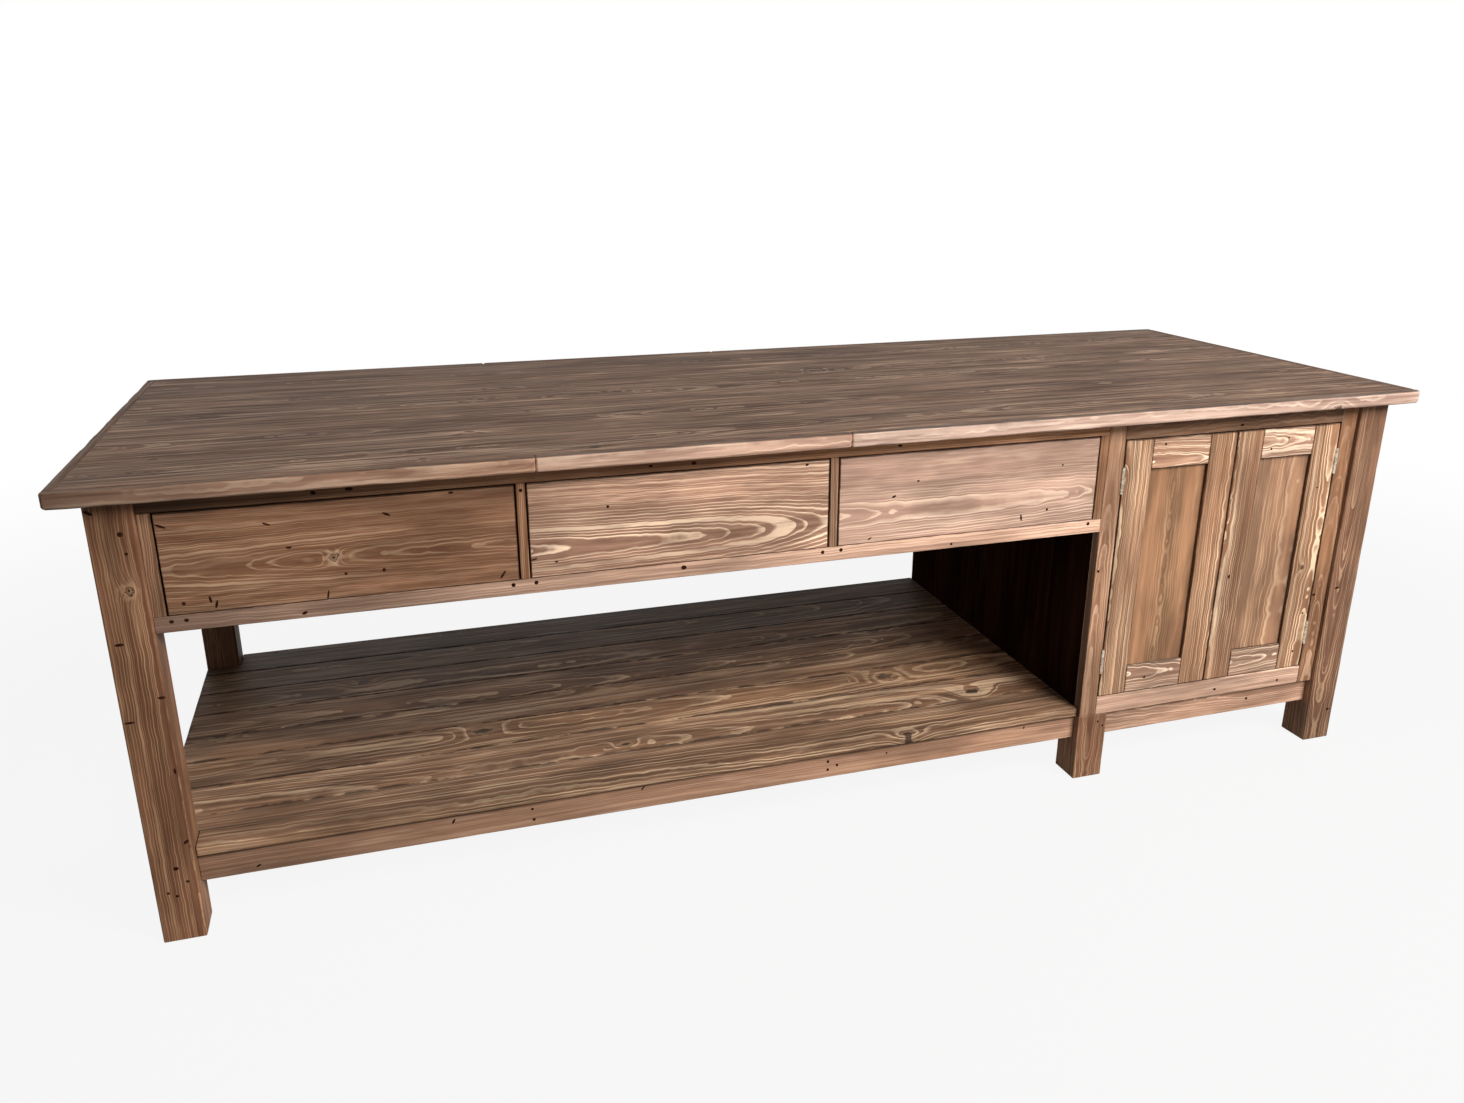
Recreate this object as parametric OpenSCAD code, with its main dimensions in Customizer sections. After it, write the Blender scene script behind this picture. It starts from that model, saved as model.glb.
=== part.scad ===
// Kitchen island unit in stained pine: plank worktop, three inset drawers,
// a two-door cupboard at the right and an open pot shelf near the floor.

/* [Overall] */
// Height of the worktop above the floor
height = 900; // [820:5:1000]
// Depth over the posts, front to back
body_depth = 920; // [840:5:1100]
// How far the worktop reaches past the posts at each end
end_overhang = 50; // [25:1:90]
// How far the worktop reaches past the posts at the front
front_overhang = 36; // [25:1:90]
// How far the worktop reaches past the posts at the back
back_overhang = 44; // [25:1:90]

/* [Worktop] */
// Thickness of the worktop
top_t = 29; // [24:1:40]
// Number of planks between the edge strips
top_planks = 5; // [3:1:7]
// Joint between two planks of the worktop
top_joint = 0.3; // [0.2:0.1:1]
// Width of the strips round the worktop's edge
strip_w = 20; // [15:1:24]
// Length of the first piece of the front and back strips
strip_first_l = 793; // [400:1:1000]
// Length of the second piece of the front and back strips
strip_second_l = 614; // [400:1:1000]
// Radius of the worktop's corners, seen from above
top_corner_r = 12; // [4:1:20]

/* [Posts and legs] */
// Width and depth of the posts
post_w = 76; // [60:1:100]
// Flat on each upright corner of the posts
post_ease = 3; // [1:0.5:6]

/* [Drawer frame] */
// How far the frames and panels lie behind the posts' faces
frame_recess = 10; // [4:1:16]
// Thickness of the front frames
frame_t = 24; // [20:1:30]
// Width of the frame's stile beside the left post
end_stile_w = 22; // [15:1:60]
// Width of the two dividers between the drawers
divider_w = 17; // [12:1:40]
// Width of the frame's stile beside the cupboard
seam_stile_w = 20; // [15:1:60]
// Height of the rail above the drawers
drawer_top_rail_h = 30; // [20:1:60]
// Height of the rail below the drawers
drawer_bottom_rail_h = 30; // [24:1:60]
// Width of the left drawer's opening
first_open_w = 611; // [450:1:750]
// Width of the other two drawers' openings
drawer_open_w = 606; // [450:1:750]
// Height of the drawer openings
drawer_open_h = 189; // [150:1:230]

/* [Drawers] */
// Gap at each side of a drawer front and above it
drawer_gap = 3; // [2:0.5:5]
// Gap under a drawer front
drawer_foot_gap = 1; // [0.6:0.1:3]
// Thickness of the drawer fronts
drawer_front_t = 22; // [18:1:24]
// Length of the drawer boxes behind their fronts
drawer_box_l = 600; // [450:10:700]
// Height of the drawer sides
drawer_side_h = 160; // [110:5:170]
// Thickness of the drawer sides
drawer_side_t = 14; // [10:1:18]
// Thickness of the drawer backs
drawer_back_t = 12; // [10:1:18]
// Thickness of the drawer bottoms
drawer_bottom_t = 6; // [4:1:9]
// Height of the drawer bottoms above the lower edge of the sides
drawer_bottom_lift = 12; // [8:1:20]
// Depth of the grooves that hold the drawer bottoms
drawer_groove = 6; // [4:0.5:8]
// How far the drawer backs stop below the top of the sides
drawer_back_drop = 8; // [0:1:20]

/* [Drawer carriage] */
// How far a runner reaches under a drawer side
runner_reach = 22; // [16:1:40]
// Thickness of the runners
runner_t = 20; // [14:1:24]
// Height of the guides and stops on the runners
guide_h = 18; // [10:1:30]
// Gap between a guide and a drawer side
guide_gap = 0.7; // [0.4:0.1:1.5]
// Gap between a drawer side and its runner
runner_gap = 0.3; // [0.2:0.1:0.8]
// Gap between a drawer side and the kicker above it
kicker_gap = 4; // [2:0.5:8]
// Length of the stops behind the drawers
stop_l = 24; // [15:1:40]
// Gap between a closed drawer and its stops
stop_gap = 0.4; // [0.2:0.1:1]

/* [Cupboard frame] */
// Width of the cupboard's stiles
cab_stile_w = 42.5; // [35:0.5:70]
// Height of the rail above the doors
cab_top_rail_h = 43; // [35:1:70]
// Height of the rail below the doors
cab_bottom_rail_h = 45; // [35:1:70]
// Width of the door opening
door_open_w = 580; // [500:2:760]
// Height of the door opening
door_open_h = 618; // [540:2:640]
// Height of the plinth rails
plinth_h = 61; // [40:1:90]
// Thickness of the plinth rails
plinth_t = 20; // [15:1:30]
// How far the plinth rails lie behind the posts' faces
plinth_recess = 24; // [18:1:30]

/* [Cupboard] */
// Thickness of the cupboard's sides, back and floor
cab_board_t = 20; // [16:1:24]
// Height of the middle of the inner shelf above the cupboard floor
inner_shelf_h = 300; // [200:10:400]
// Thickness of the inner shelf
inner_shelf_t = 20; // [16:1:24]
// Gap between the inner shelf and the sides, front posts and back posts
inner_shelf_gap = 1; // [0.5:0.5:4]
// Diameter of the pins under the inner shelf
shelf_pin_d = 6; // [4:0.5:8]
// How far a pin goes into the side and stands out of it
shelf_pin_reach = 10; // [6:1:14]
// Distance of the pins from the shelf's front and back edges
shelf_pin_inset = 60; // [40:5:120]
// Play of the pins in their holes, all round
pin_play = 0.05; // [0.02:0.01:0.1]

/* [Doors] */
// Thickness of the doors
door_t = 22; // [20:1:24]
// Gap between a door and its stile, and above the doors
door_gap = 3; // [2.5:0.5:5]
// Gap under the doors
door_foot_gap = 2; // [1.5:0.5:5]
// Gap between the two doors
door_meet_gap = 2.5; // [2:0.5:5]
// How far the doors meet to the right of the middle
door_meet_shift = 4; // [-15:1:15]
// Width of the doors' stiles
door_stile_w = 70; // [50:1:90]
// Height of the doors' rails
door_rail_h = 68; // [50:1:90]
// How far the panels lie behind the doors' faces
panel_recess = 8; // [5:0.5:10]
// Thickness of the panels and of the tenons
panel_t = 8; // [5:0.5:9]
// Depth of the grooves that hold the panels
panel_groove = 8; // [5:0.5:12]
// Play of panels, tenons and drawer bottoms in their grooves
groove_play = 0.2; // [0.1:0.1:0.5]
// Length of the tenons
tenon_l = 32; // [20:1:45]
// How far a tenon is narrower than its rail at each edge
tenon_shoulder = 9; // [8:1:15]

/* [Hinges and catches] */
// Length of the hinges
hinge_l = 60; // [48:2:90]
// Distance from the door opening's top and foot to the hinges' middles
hinge_inset = 92; // [60:1:150]
// Width of a hinge leaf behind the door's face
hinge_leaf_w = 20; // [14:0.5:20]
// Thickness of a hinge leaf
hinge_leaf_t = 1.5; // [1:0.1:2]
// Diameter of the hinge knuckles
hinge_knuckle_d = 7; // [6:0.5:9]
// Diameter of the hinge pins
hinge_pin_d = 4; // [2.5:0.1:4.5]
// Play of the hinge pins in the knuckles, all round
hinge_play = 0.05; // [0.02:0.01:0.1]
// Gap between two knuckles
knuckle_gap = 0.3; // [0.2:0.1:0.6]
// Room cut in the wood round the knuckles
knuckle_room = 0.5; // [0.3:0.1:1]
// How far the hinge pins stand in front of the doors' faces
hinge_proud = 1; // [0.5:0.1:2]
// Diameter of the hinge screws' shanks
hinge_screw_d = 3; // [2.5:0.1:4]
// Length of the hinge screws
hinge_screw_l = 18; // [12:1:25]
// Play of the screws in their holes, all round
screw_play = 0.05; // [0.02:0.01:0.1]
// Length of the magnetic catches
catch_l = 40; // [30:1:60]
// Depth of the magnetic catches, front to back
catch_t = 14; // [10:1:20]
// How far the catches hang below the rail above the doors
catch_drop = 16; // [12:1:25]
// How far the catches reach up behind that rail
catch_seat = 18; // [12:1:30]
// Distance of the catches from the doors' meeting edges
catch_inset = 25; // [10:1:60]
// Gap between a catch and its strike plate
catch_gap = 0.4; // [0.3:0.1:0.8]

/* [Pot shelf] */
// Height of the pot shelf's surface
pot_shelf_z = 184; // [140:1:260]
// Thickness of the pot shelf
pot_shelf_t = 23; // [18:1:30]
// Number of boards in the pot shelf
pot_shelf_count = 8; // [5:1:12]
// Joint between two boards of the pot shelf
pot_shelf_joint = 0.8; // [0.4:0.1:3]
// How far the shelf's front edge lies behind the posts' faces
pot_shelf_front = 20; // [4:1:30]
// How far the shelf's back edge lies inside the posts' backs
pot_shelf_back = 6; // [4:1:30]
// Height of the rails under the pot shelf
low_rail_h = 57; // [40:1:90]
// Thickness of the rails under the pot shelf
low_rail_t = 24; // [18:1:30]
// How far the rails under the pot shelf lie behind the posts' faces
low_rail_recess = 28; // [24:1:40]
// Number of bearers under the pot shelf
bearer_count = 4; // [2:1:6]
// Width of a bearer
bearer_w = 40; // [30:1:60]
// Height of a bearer
bearer_h = 45; // [30:1:55]

/* [Worktop screws] */
// Diameter of the worktop screws' shanks
top_screw_d = 5; // [4:0.5:6]
// Diameter of the worktop screws' heads
top_screw_head_d = 10; // [8:0.5:12]
// Thickness of the worktop screws' heads
top_screw_head_t = 3; // [2:0.5:4]
// How far the worktop screws bite into the planks
top_screw_bite = 15; // [10:1:18]
// How deep the heads lie inside the kickers
top_screw_sink = 15; // [8:1:18]

/* [Hidden] */
$fn = 48;

// Places along the length, from the outer face of the left posts
x_open_1 = post_w + end_stile_w;
x_divider_1 = x_open_1 + first_open_w;
x_open_2 = x_divider_1 + divider_w;
x_divider_2 = x_open_2 + drawer_open_w;
x_open_3 = x_divider_2 + divider_w;
x_seam_stile = x_open_3 + drawer_open_w;
x_cab = x_seam_stile + seam_stile_w;
x_door = x_cab + cab_stile_w;
x_door_end = x_door + door_open_w;
x_post_right = x_door_end + cab_stile_w;
body_l = x_post_right + post_w;
x_right_side = body_l - frame_recess - cab_board_t;

// Places in the depth, from the front faces of the posts
y_face = frame_recess;
y_frame_back = y_face + frame_t;
y_back = body_depth - frame_recess;
y_apron = y_back - frame_t;
y_cab_back = y_back - cab_board_t;
y_post_back = body_depth - post_w;
y_box = y_face + drawer_front_t;
y_box_end = y_box + drawer_box_l;
y_door_back = y_face + door_t;

// Levels above the floor
z_top = height - top_t;
z_open_top = z_top - drawer_top_rail_h;
z_open = z_open_top - drawer_open_h;
z_frame = z_open - drawer_bottom_rail_h;
z_door_top = z_top - cab_top_rail_h;
z_door = z_door_top - door_open_h;
z_cab = z_door - cab_bottom_rail_h;
z_floor_board = z_door - cab_board_t;
z_side = z_open + runner_gap;
z_side_top = z_side + drawer_side_h;
z_drawer_bottom = z_side + drawer_bottom_lift;
z_kicker = z_side_top + kicker_gap;
z_pot_under = pot_shelf_z - pot_shelf_t;
z_low_rail = z_pot_under - low_rail_h;
z_inner_shelf = z_door + inner_shelf_h;

top_l = body_l + 2 * end_overhang;
top_d = body_depth + front_overhang + back_overhang;
open_x = [x_open_1, x_open_2, x_open_3];
open_w = [first_open_w, drawer_open_w, drawer_open_w];

// The four lines that carry the drawers' sides, from left to right
line_start = [post_w, x_divider_1, x_divider_2, x_seam_stile];
line_end = [x_open_1, x_open_2, x_open_3, x_cab];
line_reach_left = [0, 1, 1, 1];
line_reach_right = [1, 1, 1, 0];
guide_reach = drawer_gap - guide_gap;

// Puts the origin under the middle of the worktop, on the floor
module place() {
  translate([-body_l / 2, front_overhang - top_d / 2, 0]) children();
}

// Box from one corner to the opposite one
module block(low, high) {
  translate(low) cube(high - low);
}

module post(x, y, h) {
  translate([x, y, 0]) linear_extrude(h) polygon([
    [post_ease, 0], [post_w - post_ease, 0],
    [post_w, post_ease], [post_w, post_w - post_ease],
    [post_w - post_ease, post_w], [post_ease, post_w],
    [0, post_w - post_ease], [0, post_ease]
  ]);
}

// ---- Worktop ----

// Whole outline of the worktop, with its rounded corners
module top_outline() {
  r = top_corner_r;
  translate([-end_overhang, -front_overhang, z_top]) {
    translate([r, 0, 0]) cube([top_l - 2 * r, top_d, top_t]);
    translate([0, r, 0]) cube([top_l, top_d - 2 * r, top_t]);
    for (x = [r, top_l - r], y = [r, top_d - r]) translate([x, y, 0]) cylinder(r = r, h = top_t);
  }
}

plank_w = (top_d - 2 * strip_w - (top_planks + 1) * top_joint) / top_planks;
function plank_y(i) = strip_w - front_overhang + top_joint + i * (plank_w + top_joint);

// Centre lines of the screws that hold the planks down to the kickers
function line_x(k) = (line_start[k] - line_reach_left[k] * runner_reach
  + line_end[k] + line_reach_right[k] * runner_reach) / 2;

// Screws, or their holes when there is play: a hole's wide part opens downwards
module top_screw_set(play) {
  head_low = play > 0 ? -1 : top_screw_sink;
  for (k = [0:3], i = [0:top_planks - 1]) translate([line_x(k), plank_y(i) + plank_w / 2, z_kicker]) {
    translate([0, 0, head_low])
      cylinder(d = top_screw_head_d + 2 * play, h = top_screw_sink + top_screw_head_t - head_low);
    translate([0, 0, top_screw_sink]) cylinder(d = top_screw_d + 2 * play,
      h = z_top + top_screw_bite + play - z_kicker - top_screw_sink);
  }
}

module top_boards() {
  color("#7a6350") place() difference() {
    for (i = [0:top_planks - 1]) block(
      [strip_w - end_overhang + top_joint, plank_y(i), z_top],
      [top_l - end_overhang - strip_w - top_joint, plank_y(i) + plank_w, height]);
    top_screw_set(screw_play);
  }
}

module top_edge_strips() {
  starts = [strip_w + top_joint, strip_first_l, strip_first_l + strip_second_l];
  ends = [strip_first_l - top_joint, strip_first_l + strip_second_l - top_joint,
    top_l - strip_w - top_joint];
  color("#a5805e") place() intersection() {
    top_outline();
    translate([-end_overhang, -front_overhang, z_top]) {
      for (y = [0, top_d - strip_w], i = [0:2])
        block([starts[i], y, 0], [ends[i], y + strip_w, top_t]);
      for (x = [0, top_l - strip_w]) block([x, 0, 0], [x + strip_w, top_d, top_t]);
    }
  }
}

module top_screws() {
  color("gray") place() top_screw_set(0);
}

// ---- Posts and legs ----

module post_front_left() {
  color("#8a6447") place() post(0, 0, z_top);
}

module post_front_right() {
  color("#8a6447") place() post(x_post_right, 0, z_top);
}

module post_back_left() {
  color("#8a6447") place() post(0, y_post_back, z_top);
}

module post_back_right() {
  color("#8a6447") place() post(x_post_right, y_post_back, z_top);
}

// Short legs under the cupboard's left corners
module middle_legs() {
  color("#8a6447") place() for (y = [y_face, y_back - post_w]) post(x_cab, y, z_cab);
}

// ---- Front frames ----

module drawer_frame_top_rail() {
  color("#8f6b4c") place() block([post_w, y_face, z_open_top], [x_cab, y_frame_back, z_top]);
}

module drawer_frame_bottom_rail() {
  color("#8f6b4c") place() block([post_w, y_face, z_frame], [x_cab, y_frame_back, z_open]);
}

module drawer_frame_end_stiles() {
  color("#8f6b4c") place() for (x = [[post_w, x_open_1], [x_seam_stile, x_cab]])
    block([x[0], y_face, z_open], [x[1], y_frame_back, z_open_top]);
}

module drawer_frame_dividers() {
  color("#8f6b4c") place() for (x = [x_divider_1, x_divider_2])
    block([x, y_face, z_open], [x + divider_w, y_frame_back, z_open_top]);
}

module cabinet_frame_stiles() {
  color("#8f6b4c") place() difference() {
    for (x = [x_cab, x_door_end])
      block([x, y_face, z_cab], [x + cab_stile_w, y_frame_back, z_top]);
    for (right = [false, true]) at_door(right) hinge_room_frame();
  }
}

module cabinet_frame_top_rail() {
  color("#8f6b4c") place() block([x_door, y_face, z_door_top], [x_door_end, y_frame_back, z_top]);
}

module cabinet_frame_bottom_rail() {
  color("#8f6b4c") place() block([x_door, y_face, z_cab], [x_door_end, y_frame_back, z_door]);
}

// ---- Aprons, sides, back and floor ----

module back_apron() {
  color("#80603f") place() block([post_w, y_apron, z_frame], [x_cab, y_back, z_top]);
}

module left_apron() {
  color("#80603f") place()
    block([frame_recess, post_w, z_frame], [frame_recess + frame_t, y_post_back, z_top]);
}

module cabinet_left_side() {
  color("#6d4f38") place() difference() {
    block([x_cab, y_frame_back, z_cab], [x_cab + cab_board_t, y_back, z_top]);
    pin_set(pin_play);
  }
}

module cabinet_right_side() {
  color("#6d4f38") place() difference() {
    block([x_right_side, post_w, z_cab], [x_right_side + cab_board_t, y_post_back, z_top]);
    pin_set(pin_play);
  }
}

module cabinet_back() {
  color("#6d4f38") place()
    block([x_cab + cab_board_t, y_cab_back, z_cab], [x_post_right, y_back, z_top]);
}

// The floor reaches past the right posts to the right side
module cabinet_floor() {
  color("#80603f") place() union() {
    block([x_cab + cab_board_t, y_frame_back, z_floor_board], [x_post_right, y_cab_back, z_door]);
    block([x_post_right - cab_board_t, post_w, z_floor_board], [x_right_side, y_post_back, z_door]);
  }
}

module cabinet_shelf() {
  color("#80603f") place() block(
    [x_cab + cab_board_t + inner_shelf_gap, post_w + inner_shelf_gap, z_inner_shelf],
    [x_right_side - inner_shelf_gap, y_post_back - inner_shelf_gap, z_inner_shelf + inner_shelf_t]);
}

// Pins, or their holes when there is play
module pin_set(play) {
  end_play = play > 0 ? play : 0;
  shelf_y = [post_w + shelf_pin_inset, y_post_back - shelf_pin_inset];
  for (x = [x_cab + cab_board_t, x_right_side], y = shelf_y)
    translate([x - shelf_pin_reach - end_play, y, z_inner_shelf - shelf_pin_d / 2])
      rotate([0, 90, 0]) cylinder(d = shelf_pin_d + 2 * play, h = 2 * (shelf_pin_reach + end_play));
}

module shelf_pins() {
  color("silver") place() pin_set(0);
}

// ---- Rails near the floor ----

module low_rail_front() {
  color("#84603f") place() block([post_w, low_rail_recess, z_low_rail],
    [x_cab, low_rail_recess + low_rail_t, z_pot_under]);
}

module low_rail_back() {
  color("#84603f") place()
    block([post_w, body_depth - low_rail_recess - low_rail_t, z_low_rail],
      [x_cab, body_depth - low_rail_recess, z_pot_under]);
}

module low_rail_left() {
  color("#84603f") place() block([low_rail_recess, post_w, z_low_rail],
    [low_rail_recess + low_rail_t, y_post_back, z_pot_under]);
}

// Rails under the cupboard at the front, the back and the right end
module plinth_rails() {
  x_leg = x_cab + post_w;
  x_end = body_l - plinth_recess;
  y_end = body_depth - plinth_recess;
  color("#84603f") place() {
    block([x_leg, plinth_recess, z_cab - plinth_h], [x_post_right, plinth_recess + plinth_t, z_cab]);
    block([x_leg, y_end - plinth_t, z_cab - plinth_h], [x_post_right, y_end, z_cab]);
    block([x_end - plinth_t, post_w, z_cab - plinth_h], [x_end, y_post_back, z_cab]);
  }
}

// ---- Pot shelf ----

module pot_shelf_boards() {
  shelf_d = body_depth - pot_shelf_front - pot_shelf_back;
  board_w = (shelf_d - (pot_shelf_count - 1) * pot_shelf_joint) / pot_shelf_count;
  color("#735a44") place() difference() {
    for (i = [0:pot_shelf_count - 1]) {
      y = pot_shelf_front + i * (board_w + pot_shelf_joint);
      block([0, y, z_pot_under], [x_cab, y + board_w, pot_shelf_z]);
    }
    block([-1, -1, z_pot_under - 1], [post_w, post_w, pot_shelf_z + 1]);
    block([-1, y_post_back, z_pot_under - 1], [post_w, body_depth + 1, pot_shelf_z + 1]);
  }
}

module pot_shelf_bearers() {
  first = post_w + low_rail_t;
  last = x_cab - bearer_w;
  color("#735a44") place() for (i = [0:bearer_count - 1]) {
    x = first + (last - first) * i / (bearer_count - 1);
    block([x, low_rail_recess + low_rail_t, z_pot_under - bearer_h],
      [x + bearer_w, body_depth - low_rail_recess - low_rail_t, z_pot_under]);
  }
}

// ---- What carries the drawers ----

// Beam along one of the four lines, from the front frame to the back apron
module line_beam(k, reach, low, high) {
  block([line_start[k] - line_reach_left[k] * reach, y_frame_back, low],
    [line_end[k] + line_reach_right[k] * reach, y_apron, high]);
}

module drawer_runners() {
  color("#9b7a58") place() for (k = [0:3]) line_beam(k, runner_reach, z_open - runner_t, z_open);
}

module drawer_guides_and_stops() {
  stop_w = runner_reach - drawer_gap - runner_gap;
  color("#9b7a58") place() {
    for (k = [0:3]) line_beam(k, guide_reach, z_open, z_open + guide_h);
    for (i = [0:2], x = [open_x[i] + drawer_gap, open_x[i] + open_w[i] - drawer_gap - stop_w])
      block([x, y_box_end + stop_gap, z_open],
        [x + stop_w, y_box_end + stop_gap + stop_l, z_open + guide_h]);
  }
}

// The beams above the drawer sides also hold the worktop down
module drawer_kickers() {
  color("#9b7a58") place() difference() {
    for (k = [0:3]) line_beam(k, runner_reach, z_kicker, z_top);
    top_screw_set(screw_play);
  }
}

// ---- Drawers, numbered 0 to 2 from the left ----

function box_x(i) = open_x[i] + drawer_gap;
function box_w(i) = open_w[i] - 2 * drawer_gap;

// Bottom board, grown all round by the play where it cuts its groove
module bottom_board(i, play) {
  block([box_x(i) + drawer_side_t - drawer_groove - play, y_box - drawer_groove - play,
      z_drawer_bottom - play],
    [box_x(i) + box_w(i) - drawer_side_t + drawer_groove + play, y_box_end + play,
      z_drawer_bottom + drawer_bottom_t + play]);
}

module drawer_front(i) {
  color("#9a7250") place() difference() {
    block([box_x(i), y_face, z_open + drawer_foot_gap],
      [box_x(i) + box_w(i), y_box, z_open_top - drawer_gap]);
    bottom_board(i, groove_play);
  }
}

module drawer_sides(i) {
  color("#b08d66") place() difference() {
    for (x = [box_x(i), box_x(i) + box_w(i) - drawer_side_t])
      block([x, y_box, z_side], [x + drawer_side_t, y_box_end, z_side_top]);
    bottom_board(i, groove_play);
  }
}

module drawer_back(i) {
  color("#b08d66") place() block(
    [box_x(i) + drawer_side_t, y_box_end - drawer_back_t,
      z_drawer_bottom + drawer_bottom_t],
    [box_x(i) + box_w(i) - drawer_side_t, y_box_end, z_side_top - drawer_back_drop]);
}

module drawer_bottom(i) {
  color("#c2a27a") place() bottom_board(i, 0);
}

module drawer_left_front() { drawer_front(0); }
module drawer_left_sides() { drawer_sides(0); }
module drawer_left_back() { drawer_back(0); }
module drawer_left_bottom() { drawer_bottom(0); }
module drawer_middle_front() { drawer_front(1); }
module drawer_middle_sides() { drawer_sides(1); }
module drawer_middle_back() { drawer_back(1); }
module drawer_middle_bottom() { drawer_bottom(1); }
module drawer_right_front() { drawer_front(2); }
module drawer_right_sides() { drawer_sides(2); }
module drawer_right_back() { drawer_back(2); }
module drawer_right_bottom() { drawer_bottom(2); }

// ---- Doors ----

// Puts a door's own frame in place: x runs from its hinge edge to its meeting edge
module at_door(right) {
  if (right) translate([x_door_end - door_gap, 0, 0]) mirror([1, 0, 0]) children();
  else translate([x_door + door_gap, 0, 0]) children();
}

function door_w(right) = door_open_w / 2 + (right ? -1 : 1) * door_meet_shift
  - door_gap - door_meet_gap / 2;
z_door_foot = z_door + door_foot_gap;
z_door_head = z_door_top - door_gap;
y_panel = y_face + panel_recess;

module door_panel(w, play) {
  reach = panel_groove + play;
  block([door_stile_w - reach, y_panel - play, z_door_foot + door_rail_h - reach],
    [w - door_stile_w + reach, y_panel + panel_t + play, z_door_head - door_rail_h + reach]);
}

// Tenons of one rail whose lower edge is at z, joined through the rail
module door_tenons(w, z, play) {
  block([door_stile_w - tenon_l - play, y_panel - play, z + tenon_shoulder - play],
    [w - door_stile_w + tenon_l + play, y_panel + panel_t + play,
      z + door_rail_h - tenon_shoulder + play]);
}

module door_stiles(right) {
  w = door_w(right);
  color("#a07a55") place() at_door(right) difference() {
    for (x = [0, w - door_stile_w])
      block([x, y_face, z_door_foot], [x + door_stile_w, y_door_back, z_door_head]);
    door_panel(w, groove_play);
    for (z = [z_door_foot, z_door_head - door_rail_h]) door_tenons(w, z, groove_play);
    hinge_room_door();
  }
}

module door_rails(right) {
  w = door_w(right);
  color("#a98560") place() at_door(right) difference() {
    for (z = [z_door_foot, z_door_head - door_rail_h]) union() {
      block([door_stile_w, y_face, z], [w - door_stile_w, y_door_back, z + door_rail_h]);
      door_tenons(w, z, 0);
    }
    door_panel(w, groove_play);
  }
}

module left_door_stiles() { door_stiles(false); }
module left_door_rails() { door_rails(false); }
module left_door_panel() { color("#a3805b") place() at_door(false) door_panel(door_w(false), 0); }
module right_door_stiles() { door_stiles(true); }
module right_door_rails() { door_rails(true); }
module right_door_panel() { color("#a3805b") place() at_door(true) door_panel(door_w(true), 0); }

// ---- Hinges: the pin stands in the middle of the gap beside a door ----

x_pin = -door_gap / 2;
y_pin = y_face - hinge_proud;
hinge_z = [z_door + hinge_inset - hinge_l / 2, z_door_top - hinge_inset - hinge_l / 2];
knuckle_l = hinge_l / 3;
y_leaf_end = y_face + hinge_leaf_w;
y_hinge_screw = y_face + hinge_leaf_w * 0.6;

module hinge_bar(d, low, high) {
  translate([x_pin, y_pin, low]) cylinder(d = d, h = high - low);
}

// One leaf: x_low is the plate's nearer face, own knuckles and the other leaf's
module hinge_leaf(x_low, own, others) {
  difference() {
    union() {
      block([x_low, y_pin, 0], [x_low + hinge_leaf_t, y_leaf_end, hinge_l]);
      for (z = own) hinge_bar(hinge_knuckle_d, z[0], z[1]);
    }
    hinge_bar(hinge_pin_d + 2 * hinge_play, -1, hinge_l + 1);
    for (z = others) hinge_bar(hinge_knuckle_d + 2 * knuckle_gap, z[0] - knuckle_gap, z[1] + knuckle_gap);
    hinge_screw_set(x_low > x_pin ? 1 : -1, screw_play);
  }
}

outer_knuckles = [[0, knuckle_l], [2 * knuckle_l, hinge_l]];
inner_knuckle = [[knuckle_l + knuckle_gap, 2 * knuckle_l - knuckle_gap]];

// Screws of one leaf; side 1 goes into the door and side -1 into the frame
module hinge_screw_set(side, play) {
  x_head = side > 0 ? 0 : -door_gap;
  for (k = [1, 3, 5]) translate([x_head, y_hinge_screw, hinge_l * k / 6]) rotate([0, 90 * side, 0]) {
    cylinder(d1 = 2 * hinge_screw_d + 2 * play, d2 = hinge_screw_d + 2 * play, h = hinge_leaf_t);
    cylinder(d = hinge_screw_d + 2 * play, h = hinge_screw_l + play);
  }
}

// Room for both hinges of a door in its stile of the frame
module hinge_room_frame() {
  for (z = hinge_z) translate([0, 0, z]) {
    block([-door_gap - hinge_leaf_t, y_pin, 0], [-door_gap + 1, y_leaf_end, hinge_l]);
    hinge_bar(hinge_knuckle_d + 2 * knuckle_room, 0, hinge_l);
    hinge_screw_set(-1, screw_play);
  }
}

// Room for both hinges in a door's own stile
module hinge_room_door() {
  for (z = hinge_z) translate([0, 0, z]) {
    block([-1, y_pin, 0], [hinge_leaf_t, y_leaf_end, hinge_l]);
    hinge_bar(hinge_knuckle_d + 2 * knuckle_room, 0, hinge_l);
    hinge_screw_set(1, screw_play);
  }
}

module at_hinges(right) {
  at_door(right) for (z = hinge_z) translate([0, 0, z]) children();
}

module hinge_frame_leaves() {
  color("silver") place() for (right = [false, true]) at_hinges(right)
    hinge_leaf(-door_gap - hinge_leaf_t, outer_knuckles, inner_knuckle);
}

module hinge_leaves_left_door() {
  color("silver") place() at_hinges(false) hinge_leaf(0, inner_knuckle, outer_knuckles);
}

module hinge_leaves_right_door() {
  color("silver") place() at_hinges(true) hinge_leaf(0, inner_knuckle, outer_knuckles);
}

module hinge_pins() {
  color("gray") place() for (right = [false, true]) at_hinges(right)
    hinge_bar(hinge_pin_d, 0, hinge_l);
}

module hinge_screws_frame() {
  color("gray") place() for (right = [false, true]) at_hinges(right) hinge_screw_set(-1, 0);
}

module hinge_screws_left_door() {
  color("gray") place() at_hinges(false) hinge_screw_set(1, 0);
}

module hinge_screws_right_door() {
  color("gray") place() at_hinges(true) hinge_screw_set(1, 0);
}

// ---- Magnetic catches behind the rail above the doors ----

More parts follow.
